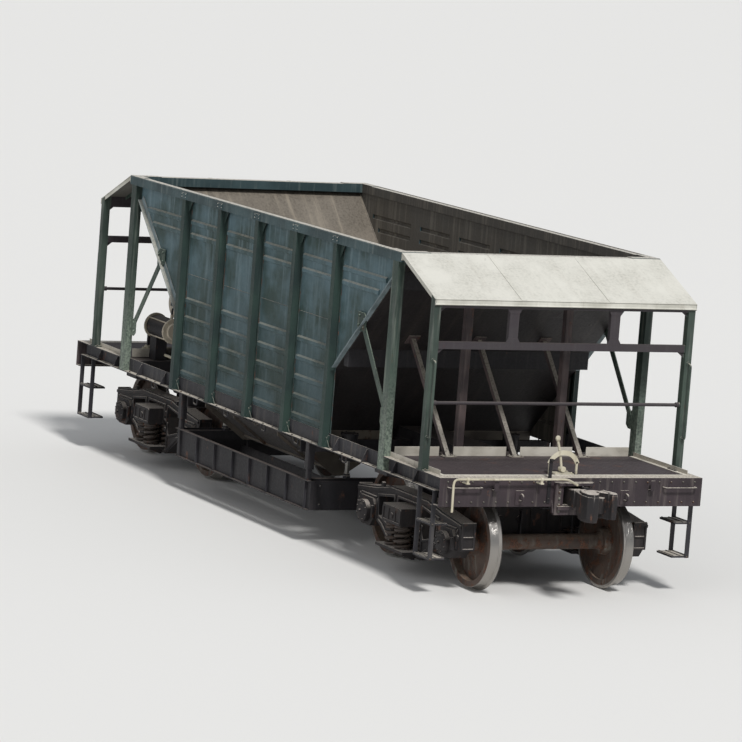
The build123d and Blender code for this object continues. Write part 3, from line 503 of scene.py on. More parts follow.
def plate(outline, thickness, origin, along=axisX, up=axisZ):
    # outline drawn on two directions and carried by its thickness along their cross product
    outline = counterClockwise(outline)
    along, up = unit(along), unit(up)
    near = np.asarray(origin, float) + outline[:, :1] * along + outline[:, 1:] * up
    far = near + thickness * np.cross(along, up)
    i = np.arange(len(outline))
    j = np.roll(i, -1)
    sides = np.stack([i, j, j + len(i), i + len(i)], 1)
    return np.concatenate([near, far]), [sides, i[None, ::-1], i[None] + len(i)]


def frameRing(outer, inner, thickness, origin, along=axisX, up=axisZ):
    # flat ring between two outlines of as many points, carried by its thickness
    flat = np.concatenate([outer, inner])
    near = np.asarray(origin, float) + flat[:, :1] * along + flat[:, 1:] * up
    far = near + thickness * np.cross(along, up)
    out, hole, farOut, farHole = (np.arange(len(outer)) + k * len(outer) for k in range(4))
    pairs = ((out, farOut), (farHole, hole), (farOut, farHole), (hole, out))
    quads = np.concatenate([np.stack([a, np.roll(a, -1), np.roll(b, -1), b], 1) for a, b in pairs])
    return np.concatenate([near, far]), [quads]


def inset(outline, distance):
    # outline whose edges moved inwards by a distance: each corner along its bisector (counter-clockwise)
    outline = np.asarray(outline, float)
    before = unit(outline - np.roll(outline, 1, axis=0))
    after = unit(np.roll(outline, -1, axis=0) - outline)
    left = np.stack([-before[:, 1], before[:, 0]], 1) + np.stack([-after[:, 1], after[:, 0]], 1)
    return outline + left * distance / (1 + (before * after).sum(1))[:, None]


def copies(part, offsets):
    # the same part at each offset
    points, groups = part
    offsets = np.asarray(offsets, float)
    moved = (offsets[:, None] + points[None]).reshape(-1, 3)
    starts = np.arange(len(offsets)) * len(points)
    return moved, [(g[None] + starts[:, None, None]).reshape(-1, g.shape[1]) for g in groups]


def flipped(part, axis):
    # mirror image across the plane x = 0 or y = 0, faces turned back to face outwards
    points = part[0].copy()
    points[:, axis] *= -1
    return points, [g[:, ::-1] for g in part[1]]


def bothSides(parts):
    return parts + [flipped(part, 1) for part in parts]


def bothEnds(parts):
    return parts + [flipped(part, 0) for part in parts]


def fourCorners(parts):
    return bothEnds(bothSides(parts))


def halfTurn(parts):
    # the other end of a wagon whose gear is the same seen from either end
    return parts + [flipped(flipped(part, 0), 1) for part in parts]


def bolts(sites, facing, size=0.024):
    # hexagon heads on washers, size across the corners, at each site
    r = size / 2
    head = turned([(0.10 * size, r), (0.48 * size, r), (0.58 * size, 0.8 * r)], (0, 0, 0), facing, 6)
    washer = turned([(0, 1.35 * r), (0.12 * size, 1.35 * r)], (0, 0, 0), facing, 10)
    return [copies(head, sites), copies(washer, sites)]


def rivets(sites, facing, size=0.026):
    # round heads: radius falls as the root of what is left of the height
    r = size / 2
    head = turned([(0, r), (0.25 * size, 0.92 * r), (0.42 * size, 0.66 * r), (0.5 * size, 0.28 * r)],
                  (0, 0, 0), facing, 8)
    return [copies(head, sites)]


def weld(start, end, size=0.004, pitch=0.03):
    # bead between two points, its radius swelling by a fifth with each pass of the rod
    start, end = np.asarray(start, float), np.asarray(end, float)
    count = max(4, int(np.linalg.norm(end - start) / pitch))
    u = np.linspace(0, 1, count)
    radius = size * (1 + 0.2 * np.sin(u * count * 2.3))
    return tube(start + u[:, None] * (end - start), radius, 6)


def circle(count, radius, centre=(0.0, 0.0), start=0.0):
    v = start + np.arange(count) * 2 * np.pi / count
    return np.stack([centre[0] + radius * np.cos(v), centre[1] + radius * np.sin(v)], 1)


def makePiece(name, parts, coat, edge=0.0, smoothUnder=40.0, body="root", instead=()):
    # one object from many parts, its edges broken by edge metres, riding on a body
    counts = [len(points) for points, _ in parts]
    starts = np.cumsum([0] + counts[:-1])
    groups = [group + start for (_, ownGroups), start in zip(parts, starts) for group in ownGroups]
    corners = np.concatenate([group.ravel() for group in groups])
    sizes = np.concatenate([np.full(len(group), group.shape[1]) for group in groups])
    mesh = bpy.data.meshes.new(name)
    mesh.vertices.add(sum(counts))
    mesh.vertices.foreach_set("co", np.concatenate([points for points, _ in parts]).ravel())
    mesh.loops.add(len(corners))
    mesh.loops.foreach_set("vertex_index", corners)
    mesh.polygons.add(len(sizes))
    mesh.polygons.foreach_set("loop_start", np.cumsum(sizes) - sizes)
    mesh.polygons.foreach_set("use_smooth", np.ones(len(sizes), bool))
    mesh.update(calc_edges=True)
    mesh.validate()
    mesh.set_sharp_from_angle(angle=math.radians(smoothUnder))
    mesh.materials.append(coats[coat])
    piece = bpy.data.objects.new(name, mesh)
    bpy.context.collection.objects.link(piece)
    if edge:
        bevel = piece.modifiers.new("brokenEdges", "BEVEL")
        bevel.width = edge
        bevel.segments = 1
        bevel.limit_method = "ANGLE"
        bevel.angle_limit = math.radians(50)
    if instead:
        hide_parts(*instead)
    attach(piece, body)


print("shape tools ready")

# hopper body

slopeFoot = (2.0, sillHigh + 0.64)       # where the end slope starts, along and up
slopeRise = (railLow - slopeFoot[1]) / (endRailX - 0.015 - slopeFoot[0])
slopeAlong = unit((1.0, 0.0, slopeRise))


def slopeAt(x):
    # height of the end slope's upper face at distance x from the middle
    return slopeFoot[1] + (x - slopeFoot[0]) * slopeRise


posts = {
    "places": (-2.0, -1.0, 0.0, 1.0, 2.0), "footHalf": 0.082, "crownHalf": 0.042, "thick": 0.008,
    "gussetWide": 0.15, "headHigh": 0.15, "footHigh": 0.11, "wingWide": 0.070, "wingHigh": 0.13,
    "seamZ": 2.48,
}


def makePostTrim():
    # gussets at each post's head and foot, and wings on both sides of its foot
    wide, thick, crown, wingWide, wingHigh = pick(posts, "gussetWide thick crownHalf wingWide wingHigh")
    narrow, foot = crown + 0.012, sillLow + 0.01
    parts = []
    for x in posts["places"]:
        for y, z, high in ((0.034, railLow, -posts["headHigh"]), (0.040, foot, posts["footHigh"])):
            shape = [(-wide, 0), (wide, 0), (narrow, high), (-narrow, high)]
            parts.append(plate(shape, thick, (x, sheetY + y, z)))
        wing = [(0, 0), (wingWide, 0), (0.022, wingHigh), (0, wingHigh)]
        parts += [plate(wing, thick, (x + s * 0.072, sheetY + 0.008, foot), axisY) for s in (-1, 1)]
    makePiece("postTrim", bothSides(parts), "postPaint", 0.0015)


def makePostWelds():
    parts, between = [], (-1.5, -0.5, 0.5, 1.5)
    for x in posts["places"]:
        for foot in (x - posts["footHalf"], x + posts["footHalf"]):
            parts.append(weld((foot, sheetY + 0.003, sillHigh), (foot, sheetY + 0.003, railLow)))
    for x in between:
        seam = (sheetY + 0.001, posts["seamZ"])
        parts.append(weld((x - 0.4, *seam), (x + 0.4, *seam), 0.003))
    parts.append(weld((-1.9, sheetY + 0.002, railLow), (1.9, sheetY + 0.002, railLow), 0.005))
    makePiece("postWelds", bothSides(parts), "weldMetal")


slopeEdge = {"from": 2.09, "to": 3.375, "flange": 0.065, "leg": 0.052}


def makeSlopeEdges():
    # angle bar along the lower edge of the end-bay sheets, with its outstanding leg and its weld
    start, end, flange, leg = pick(slopeEdge, "from to flange leg")
    length = (end - start) * math.hypot(1, slopeRise)
    origin = np.array([start, sheetY, slopeAt(start)])
    down = np.cross(slopeAlong, -axisY)
    bead = origin - 0.066 * down + 0.004 * axisY
    parts = [
        plate(oblong((0, 0), (length, flange)), 0.008, origin - 0.062 * down, slopeAlong, down),
        plate(oblong((0, 0), (length, leg)), 0.007, origin + (0, 0.002, -0.002), slopeAlong, axisY),
        weld(bead, bead + slopeAlong * length),
    ]
    makePiece("slopeEdges", fourCorners(parts), "edgePaint", 0.001)


braces = {"top": (2.655, 2.575), "foot": (3.35, 1.655), "half": 0.10, "thick": 0.010}


def makeBraceGussets():
    # cut-cornered plates with four bolts at both ends of each corner brace
    parts, sites, h = [], [], braces["half"]
    shape = [(-h, -0.6 * h), (-0.5 * h, -h), (h, -h), (h, 0.5 * h), (0.5 * h, h), (-h, h)]
    for x, z in (braces["top"], braces["foot"]):
        y = sheetY + 0.024
        parts.append(plate(shape, braces["thick"], (x, y, z)))
        sites += [(x + a * h, y, z + b * h) for a, b in ((-0.6, -0.4), (0.5, -0.6), (0.6, 0.3), (-0.5, 0.6))]
    makePiece("braceGussets", fourCorners(parts + bolts(sites, axisY, 0.026)), "cornerPaint", 0.0015)


def makeTopRailTrim():
    # rolled lip along the rail's outer edge, splice plates over the posts, and corner plates on top
    y, z = sideY, bodyTop
    parts = [tube([(-endRailX, y - 0.008, z - 0.004), (endRailX, y - 0.008, z - 0.004)], 0.012, 8)]
    sites = []
    for x in posts["places"]:
        parts.append(bar((x - 0.07, y - 0.002, railLow + 0.008), (x + 0.07, y + 0.006, z - 0.022)))
        sites += [(x + a, y + 0.005, railLow + b) for a in (-0.05, 0.05) for b in (0.025, 0.06)]
    parts += rivets(sites, axisY, 0.02)
    corner = [(0, 0), (-0.34, 0), (-0.34, -0.10), (-0.12, -0.10), (-0.12, -0.34), (0, -0.34)]
    parts += bothEnds([plate(corner, 0.008, (endRailX - 0.002, y - 0.004, z - 0.001), axisX, axisY)])
    makePiece("topRailTrim", bothSides(parts), "railPaint", 0.001)


seams = {"straps": (2.05, 2.85), "wide": 0.07, "corner": (1.20, 3.54)}


def makeHopperSeams():
    # lap straps and weld lines on the inside plates, worn smooth by stone
    half = sheetY - 0.008
    shape = oblong((0, 0), (2 * half, seams["wide"]))
    parts = []
    for x in seams["straps"]:
        origin = np.array([x, -half, slopeAt(x) + 0.001])
        parts.append(plate(shape, 0.006, origin, axisY, slopeAlong))
        parts.append(weld(origin + 0.005 * axisZ, origin + (0, 2 * half, 0.005), 0.005))
    parts += bothSides([weld(*((x, half, slopeAt(x) + 0.004) for x in seams["corner"]), 0.008)])
    makePiece("hopperSeams", bothEnds(parts), "hopperPlate")


hingeStrip = {"lipY": 1.394, "hang": 0.055, "boltPitch": 0.2}


def makeHingeStrips():
    # sealing strip that hangs from each apron's lip to 8 mm above the outer door
    low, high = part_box("hinge_aprons")
    z, (y, hang, pitch) = low[2], pick(hingeStrip, "lipY hang boltPitch")
    half = high[0] - 0.012
    strip = [(0, 0.006), (0.005, 0.006), (-0.002, -hang), (-0.008, -hang)]
    sites = [(x, y + 0.03, z + 0.023) for x in np.arange(-half + 0.1, half, pitch)]
    makePiece("hingeStrips", bothSides([plate(strip, 2 * half, (-half, y - 0.002, z), axisY)]), "framePaint")
    makePiece("hingeStripBolts", bothSides(bolts(sites, axisZ, 0.016)), "fastenerSteel")


for makeOne in (makePostTrim, makePostWelds, makeSlopeEdges, makeBraceGussets, makeTopRailTrim,
                makeHopperSeams, makeHingeStrips):
    makeOne()
print("hopper body dressed")

# ends

visor = {"drop": 0.37, "ribs": (-1.28, -0.62, 0.0, 0.62, 1.28), "ribEnd": 4.30, "seams": (-0.52, 0.52)}
visorOutX = visorBox[1][0]
visorSpan = visorOutX - endRailX
visorSlant = unit((visorSpan, 0, -visor["drop"]))


def makeVisorTrim():
    # rolled lips along the outer edge, a hem along each side and a lap seam by each third
    y, length = sideY, math.hypot(visorSpan, visor["drop"])
    lips = [(visorOutX - 0.004, visorBox[0][2] + 0.006, 0.011, 10),
            (visorOutX - 0.003, bodyTop - visor["drop"] - 0.002, 0.007, 8)]
    parts = [tube([(x, -y, z), (x, y, z)], radius, sides) for x, z, radius, sides in lips]
    hem = oblong((0, 0), (length, -0.05))
    parts += bothSides([plate(hem, 0.005, (endRailX, y - 0.005, bodyTop - 0.001), visorSlant)])
    strap = oblong((0, -0.03), (length - 0.004, 0.03))
    for seamY in visor["seams"]:
        parts.append(plate(strap, 0.004, (endRailX + 0.004, seamY, bodyTop + 0.0005), visorSlant, axisY))
    makePiece("visorTrim", bothEnds(parts), "visorPaint", 0.0008)


def makeVisorRibs():
    # pressed brackets that carry the visor from below
    length = (visor["ribEnd"] - endRailX) * math.hypot(1, visor["drop"] / visorSpan)
    shape = [(0.01, -0.012), (length, -0.012), (length, -0.05), (0.01, -0.085)]
    parts = [plate(shape, 0.006, (endRailX + 0.004, y + 0.003, bodyTop), visorSlant) for y in visor["ribs"]]
    makePiece("visorRibs", bothEnds(parts), "cornerPaint", 0.0008)


endFrames = {"x": 4.35, "half": 0.04, "barZ": railTop + 2.55, "handZ": railTop + 1.95, "strutY": 0.6,
             "grab": (1.62, 2.42), "grabOut": 0.06}


def makeEndFrameTrim():
    x, half, barZ, handZ, (low, high) = pick(endFrames, "x half barZ handZ grab")
    railZ = bodyTop - visor["drop"] - 0.09
    # foot plates with anchor bolts, and corner plates where the cross bar and the rail meet the posts
    parts = [bar((x - 0.085, sheetY - 0.03, sillHigh - 0.001), (x + 0.085, sideY - 0.004, sillHigh + 0.012))]
    sites = [(x + a, y, sillHigh + 0.012) for a in (-0.065, 0.065) for y in (sheetY - 0.012, sideY - 0.03)]
    for z, size in ((railZ, 0.07), (barZ - 0.037, 0.08)):
        parts.append(plate([(0.02, 0), (-size, 0), (0.02, -size)], 0.008, (x + 0.004, sheetY, z), axisY))
    # rail sleeve and grab handle on the post
    parts.append(pin((x, sheetY - 0.045, handZ), axisY, 0, 0.045, 0.027, 14))
    y, out = sideY - 0.035, endFrames["grabOut"] + 0.004
    parts.append(staple((x + half - 0.004, y, high), (out, 0, 0), (0, 0, low - high), 0.011, 0.04, axisY))
    parts += [pin((x + half, y, z), axisX, -0.001, 0.006, 0.026) for z in (high, low)]
    makePiece("endFrameTrim", fourCorners(parts), "endPaint", 0.001)
    makePiece("endFrameBolts", fourCorners(bolts(sites, axisZ, 0.022)), "fastenerSteel")
    feet = []
    for z, s in ((railZ, -1), (barZ + 0.037, 1)):
        shape = [(-0.085, 0), (0.085, 0), (0.055, s * 0.05), (-0.055, s * 0.05)]
        feet.append(plate(shape, 0.006, (x + 0.0225, endFrames["strutY"], z), axisY))
    makePiece("endStrutFeet", fourCorners(feet), "endPaint", 0.0008)


leaning = {"places": (-0.8, 0.0, 0.8), "fromEdge": 1.22, "deep": 0.034, "plateHalf": 0.075, "padHalf": 0.07,
           "boltY": 0.055}


def makeBraceEnds():
    # foot plates with bolts on the deck, and pads under the slope, for the leaning braces
    back, deep, wide, pad, boltY = pick(leaning, "fromEdge deep plateHalf padHalf boltY")
    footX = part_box("platforms")[1][0] - back
    lean = math.hypot(1, slopeRise)
    normal = np.array([-slopeRise, 0, 1]) / lean
    # the brace leans square to the slope, so its top lies this far up from the deck
    rise = (slopeAt(footX + deep) - 0.006 * lean - sillHigh) / (1 + slopeRise ** 2)
    top = np.array([footX + deep - slopeRise * rise, 0, sillHigh + rise])
    shape = oblong((-pad, -pad), (pad, pad))
    low, high = sillHigh - 0.001, sillHigh + 0.01
    parts, sites = [], []
    for y in leaning["places"]:
        parts.append(bar((footX + 0.002, y - wide, low), (footX + 0.13, y + wide, high)))
        sites += [(footX + x, y + a, high) for x in (0.10, 0.03) for a in (-boltY, boltY)]
        parts.append(plate(shape, 0.010, top + y * axisY - 0.0105 * normal, slopeAlong, axisY))
    makePiece("braceEnds", bothEnds(parts + bolts(sites, axisZ, 0.022)), "bracePaint", 0.001)


treads = {"from": 3.48, "pitch": 0.046, "long": 0.030, "wide": 0.010, "high": 0.0022, "margin": 0.03}


def makeDeckTreads():
    # raised lozenges in rows, turned one way and the other by 45 degrees, on both decks
    high, (pitch, margin, h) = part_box("platforms")[1], pick(treads, "pitch margin high")
    x0, x1, y1 = treads["from"] + margin, high[0] - margin, high[1] - margin
    i, j = np.meshgrid(np.arange(int((x1 - x0) / pitch)), np.arange(int(2 * y1 / pitch)), indexing="ij")
    sites = np.stack([x0 + (i + 0.5) * pitch, -y1 + (j + 0.5) * pitch, np.full(i.shape, high[2])], -1)
    a, b = treads["long"] / 2, treads["wide"] / 2
    flat = np.array([(-a, 0, 0), (0, -b, 0), (a, 0, 0), (0, b, 0), (-a * 0.55, 0, h), (a * 0.55, 0, h)])
    top = np.array([(0, 1, 4), (3, 0, 4), (1, 2, 5), (2, 3, 5), (1, 5, 4), (3, 4, 5)])
    parts = []
    for parity, turn in ((0, math.pi / 4), (1, -math.pi / 4)):
        c, s = math.cos(turn), math.sin(turn)
        lozenge = flat @ np.array([[c, s, 0], [-s, c, 0], [0, 0, 1]])
        parts.append(copies((lozenge, [top, np.array([(0, 3, 2, 1)])]), sites[(i + j) % 2 == parity]))
    makePiece("deckTreads", bothEnds(parts), "deckPaint", smoothUnder=10)


rims = {"from": 3.50, "wide": 0.052, "high": 0.05, "thick": 0.006, "boardIn": 1.218, "boardHigh": 0.10,
        "boards": ((-1.41, -0.885), (-0.715, -0.085), (0.085, 0.715), (0.885, 1.41))}


def makeDeckRims():
    # kerb angle round each deck, and the toe boards between the leaning braces
    outer, _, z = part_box("platforms")[1]
    start, wide, high, thick, back, tall = pick(rims, "from wide high thick boardIn boardHigh")
    kerb = [(-wide, 0), (0, 0), (0, high), (-thick, high), (-thick, thick), (-wide, thick)]
    side = [plate(kerb, outer - high - start, (start, sheetY, z), axisY)]
    across = [bar((outer - high, -sheetY, z), (outer, sheetY, z + thick))]
    across += [bar((outer - back, a, z), (outer - back + thick, b, z + tall)) for a, b in rims["boards"]]
    makePiece("deckRims", bothEnds(bothSides(side) + across), "rimDust", 0.001)


for makeOne in (makeVisorTrim, makeVisorRibs, makeEndFrameTrim, makeBraceEnds, makeDeckTreads, makeDeckRims):
    makeOne()
print("ends dressed")

# air and brake gear on the rear platform

vessel = {"half": 0.75, "radius": 0.2, "dish": 0.075, "drainY": 0.3, "standY": 0.5, "strapHalf": 0.025,
          "seatFrom": 0.75, "standHalf": 0.16, "footHalf": (0.19, 0.06), "footThick": 0.012}


def makeAirVessel():
    low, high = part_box("air_reservoir")
    r, half, dish, drainY = pick(vessel, "radius half dish drainY")
    x, z = (low[0] + high[0]) / 2, high[2] - r
    # dished end: a quarter ellipse from the rim to a small flat in the middle
    t = np.linspace(0.06, math.pi / 2, 9)
    cap = np.stack([half - dish + dish * np.cos(t), r * np.sin(t)], 1)
    parts = [turned(np.concatenate([cap * (-1, 1), cap[::-1]]), (x, 0, z), axisY, 40)]
    for y in (dish - half, -0.02, half - dish):
        seam = [(y - 0.006, r + 0.0005), (y, r + 0.003), (y + 0.006, r + 0.0005)]
        parts.append(turned(seam, (x, 0, z), axisY, 40))
    outlet = [(0, 0.03), (0.05, 0.03), (0.052, 0.022), (0.075, 0.022)]
    parts.append(turned(outlet, (x, half - 0.01, z), axisY, 12))
    parts.append(pin((x, drainY, z - r + 0.004), -axisZ, 0, 0.03, 0.022, 10))
    parts += bolts([(x, drainY, z - r - 0.026)], -axisZ, 0.03)
    makePiece("airVessel", parts, "vesselPaint", instead=("air_reservoir",))
    # saddles: plates with a round seat, and straps bolted over the tank
    wide, (footX, footY), stand, turn, thick = pick(vessel, "strapHalf footHalf standHalf seatFrom footThick")
    deck = sillHigh + thick
    seat = np.linspace(math.pi + turn, 2 * math.pi - turn, 13)
    outline = [(-stand, deck - z), *(1.01 * r * np.stack([np.cos(seat), np.sin(seat)], 1)), (stand, deck - z)]
    parts = []
    for y in (-vessel["standY"], vessel["standY"]):
        parts += [plate(outline, 0.008, (x, y + out, z)) for out in (-0.022, 0.030)]
        parts.append(bar((x - footX, y - footY, sillHigh), (x + footX, y + footY, deck)))
        parts.append(bar((x - 0.02, y - 0.024, sillHigh), (x + 0.02, y + 0.024, z - r - 0.002)))
        strap = [(y - wide, r + 0.0015), (y - wide, r + 0.006), (y + wide, r + 0.006), (y + wide, r + 0.0015)]
        parts.append(turned(strap, (x, 0, z), axisY, 40))
        parts += bolts([(x + a, y + b, deck) for a in (-0.165, 0.165) for b in (-0.03, 0.03)], axisZ, 0.022)
    makePiece("vesselSaddles", parts, "framePaint", 0.0008)


brakeCylinder = {"radius": 0.15, "up": 0.18, "capBack": 0.19, "ribs": (0.03, 0.14, 0.25),
                 "pins": ((0, 0, 0.016), (0.235, 0.13, 0.014))}


def makeBrakeCylinderTrim():
    # cap bolts, ribs along the barrel, and the slack lever with its pins at the rod
    low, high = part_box("brake_cylinder")
    r, up, back = pick(brakeCylinder, "radius up capBack")
    x, z, capY = (low[0] + high[0]) / 2, sillHigh + up, high[1] - back
    parts = bolts([(a, capY, b) for a, b in circle(10, r - 0.002, (x, z), 0.2)], axisY, 0.02)
    parts.append(turned([(0, 0.05), (0.02, 0.05), (0.03, 0.038), (0.06, 0.036)], (x, capY, z), axisY, 20))
    for y in brakeCylinder["ribs"]:
        rib = [(y - 0.008, r + 0.0005), (y, r + 0.005), (y + 0.008, r + 0.0005)]
        parts.append(turned(rib, (x, low[1], z), axisY, 32))
    lever = [(-0.04, -0.05), (0.04, -0.05), (0.03, 0.09), (0.26, 0.11), (0.26, 0.15), (-0.03, 0.15)]
    parts.append(plate(lever, 0.016, (x, high[1] - 0.03, z)))
    for a, b, radius in brakeCylinder["pins"]:
        parts.append(pin((x + a, high[1] - 0.04, z + b), axisY, -0.03, 0.03, radius))
    makePiece("brakeCylinderTrim", parts, "vesselPaint", 0.001)


doorGear = {"y": 1.15, "z": railTop + 1.64, "radius": 0.13, "long": 0.52, "inlet": 0.09, "leverX": -3.575,
            "shaftZ": sillHigh + 0.08, "shaftHalf": 1.24, "bearings": (0.35, 1.0), "buckleX": -2.6,
            "crankX": -1.42}


def makeDoorCylinderCaps():
    # flanged caps with their bolts, four tie rods and the air inlet of each door cylinder
    y, z, r, inlet, long = pick(doorGear, "y z radius inlet long")
    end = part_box("door_cylinders")[1][0]
    start = end - long
    flange = [(0, r + 0.022), (0.026, r + 0.022), (0.032, r * 0.8), (0.055, r * 0.72)]
    parts = [pin((end - inlet, y, z + r - 0.01), axisZ, 0, 0.07, 0.018, 10)]
    for x, s in ((start, -1), (end, 1)):
        parts.append(turned(flange, (x - s * 0.008, y, z), s * axisX, 28))
        parts += bolts([(x + s * 0.018, y + a, z + b) for a, b in circle(8, r + 0.006)], s * axisX, 0.02)
    for a, b in circle(4, r + 0.012, start=math.pi / 4):
        parts.append(tube([(start, y + a, z + b), (end, y + a, z + b)], 0.008, 8))
    makePiece("doorCylinderCaps", bothSides(parts), "vesselPaint", 0.0008)


def makeDoorGearShafts():
    # cross shaft in its bearings, with a fork at each cylinder
    x, y, z, shaftZ, half, crankX, buckleX = pick(doorGear, "leverX y z shaftZ shaftHalf crankX buckleX")
    shaft = tube([(x, -half, shaftZ), (x, half, shaftZ)], 0.03, 16)
    cheek = mirrored([(0.035, 0.06), (0.055, -0.05)])
    fork = plate(cheek, 0.014, (x + 0.03, y + 0.052, z), axisZ, axisX)
    hub = [(-0.05, 0.052), (-0.05, 0.055), (0.05, 0.055), (0.05, 0.052)]
    parts = [copies(fork, [(0, 0, 0), (0, -0.09, 0)]), pin((x, y, z), axisY, -0.07, 0.07, 0.015),
             turned(hub, (x, y, shaftZ), axisY, 20)]
    deck = sillHigh - shaftZ
    bearing = mirrored([(0.09, deck), (0.09, deck + 0.02), (0.05, 0.03), (0.02, 0.055)])
    for bearingY in doorGear["bearings"]:
        parts.append(plate(bearing, 0.05, (x, bearingY + 0.025, shaftZ)))
        parts += bolts([(x + a, bearingY, sillHigh + 0.02) for a in (-0.075, 0.075)], axisZ, 0.022)
    # pull rod with its turnbuckle from the lever's foot to the crank by the throat
    rodY, rodZ = y - 0.06, shaftZ - 0.02
    buckle = [(0, 0.02), (0.02, 0.033), (0.28, 0.033), (0.30, 0.02)]
    crank = [(-0.05, 0.05), (0.05, 0.05), (0.045, -0.10), (0.20, -0.16), (0.20, -0.21), (-0.03, -0.19)]
    parts += [tube([(x + 0.02, rodY, rodZ), (crankX, rodY, rodZ)], 0.018, 10),
              turned(buckle, (buckleX, rodY, rodZ), axisX, 6),
              plate(crank, 0.018, (crankX, rodY + 0.03, rodZ)),
              pin((crankX, rodY + 0.03, rodZ), axisY, -0.09, 0.02, 0.016)]
    makePiece("doorGearShafts", [shaft] + bothSides(parts), "leverPaint", 0.001)


pipes = {"tankZ": railTop + 1.85, "crossZ": railTop + 1.91, "crossY": 0.98, "startY": 0.79, "radius": 0.013,
         "dropY": (0.3, -0.20), "dropBack": 0.26, "dropUp": (0.32, 0.06), "clips": (-0.9, -0.3, 0.3)}


def makePipework():
    # solid-drawn pipes with swept bends from the tank to each door cylinder and the brake cylinder
    low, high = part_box("air_reservoir")
    x, valveX = (low[0] + high[0]) / 2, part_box("door_cylinders")[1][0] - doorGear["inlet"]
    tankZ, crossZ, startY, crossY = pick(pipes, "tankZ crossZ startY crossY")
    (nearY, farY), back, (up, down) = pick(pipes, "dropY dropBack dropUp")
    y, z, r = pick(doorGear, "y z radius")
    inletZ, backX, upZ, downZ = z + r + 0.03, x - back, sillHigh + up, sillHigh + down
    runs = [
        (0.045, [(x, startY, tankZ), (x, crossY, tankZ), (x, crossY, crossZ), (valveX, crossY, crossZ),
                 (valveX, y, crossZ), (valveX, y, inletZ)]),
        (0.045, [(valveX, crossY, crossZ), (valveX, -y, crossZ), (valveX, -y, inletZ)]),
        (0.03, [(x, nearY, tankZ - 0.16), (x, nearY, upZ), (backX, nearY, upZ), (backX, nearY, downZ),
                (backX, farY, downZ)]),
    ]
    parts = [tube(rounded(run, bend), pipes["radius"], 8) for bend, run in runs]
    union = [(-0.03, 0.02), (-0.028, 0.024), (0.028, 0.024), (0.03, 0.02)]
    parts += [turned(union, (unionX, crossY, crossZ), axisY, 6) for unionX in (x, valveX)]
    parts += [block((valveX, clipY, crossZ), 0.02, 0.015, 0.02) for clipY in pipes["clips"]]
    # change-over valve: a small ribbed casting on the tank's pipe
    valve = [(-0.07, 0.035), (-0.05, 0.05), (-0.02, 0.05), (-0.015, 0.062),
             (0.015, 0.062), (0.02, 0.05), (0.05, 0.05), (0.07, 0.035)]
    parts.append(turned(valve, (backX, nearY, sillHigh + 0.24), axisZ, 16))
    makePiece("pipework", parts, "framePaint")


hand = {"x": 4.56, "high": 0.34, "radius": 0.2, "band": 0.05, "pivot": 0.05, "legY": 0.16, "thick": 0.012}


def makeHandLever():
    # short upright lever in its quadrant at the outer edge of the front deck
    x, high, r, band, pivot, legY, thick = pick(hand, "x high radius band pivot legY thick")
    foot, top, pivotZ, head = sillHigh, sillHigh + thick, sillHigh + pivot, (x, -0.07, sillHigh + high)
    a = np.linspace(0.35, math.pi - 0.35, 15)
    arc = np.stack([np.cos(a), np.sin(a)], 1)
    knob = [(0, 0.014), (0.012, 0.024), (0.03, 0.028), (0.048, 0.024), (0.06, 0.012)]
    parts = [
        bar((x - 0.07, -0.11, foot), (x + 0.07, 0.11, top)),
        plate(np.concatenate([r * arc, (r - band) * arc[::-1]]), 0.01, (x + 0.02, 0, pivotZ), axisY),
        tube([(x, 0, foot + 0.03), (x, -0.03, foot + 0.2), head], 0.014, 10),
        turned(knob, head, (0, -0.1, 1), 14),
        pin((x, 0, pivotZ), axisX, -0.03, 0.04, 0.03, 16),
    ]
    parts += [block((x + 0.024, y, foot + 0.065), 0.006, 0.012, 0.065) for y in (-legY, legY)]
    parts += bolts([(x + a, b, top) for a in (-0.05, 0.05) for b in (-0.09, 0.09)], axisZ, 0.02)
    makePiece("handLever", parts, "leverPaint", 0.0008)


for makeOne in (makeAirVessel, makeBrakeCylinderTrim, makeDoorCylinderCaps, makeDoorGearShafts, makePipework,
                makeHandLever):
    makeOne()
print("air gear dressed")

# underframe

coupler = {"z": railTop + 1.06, "plane": 5.435, "neck": 5.14, "start": 4.25, "wide": 0.13, "ribX": 4.975}


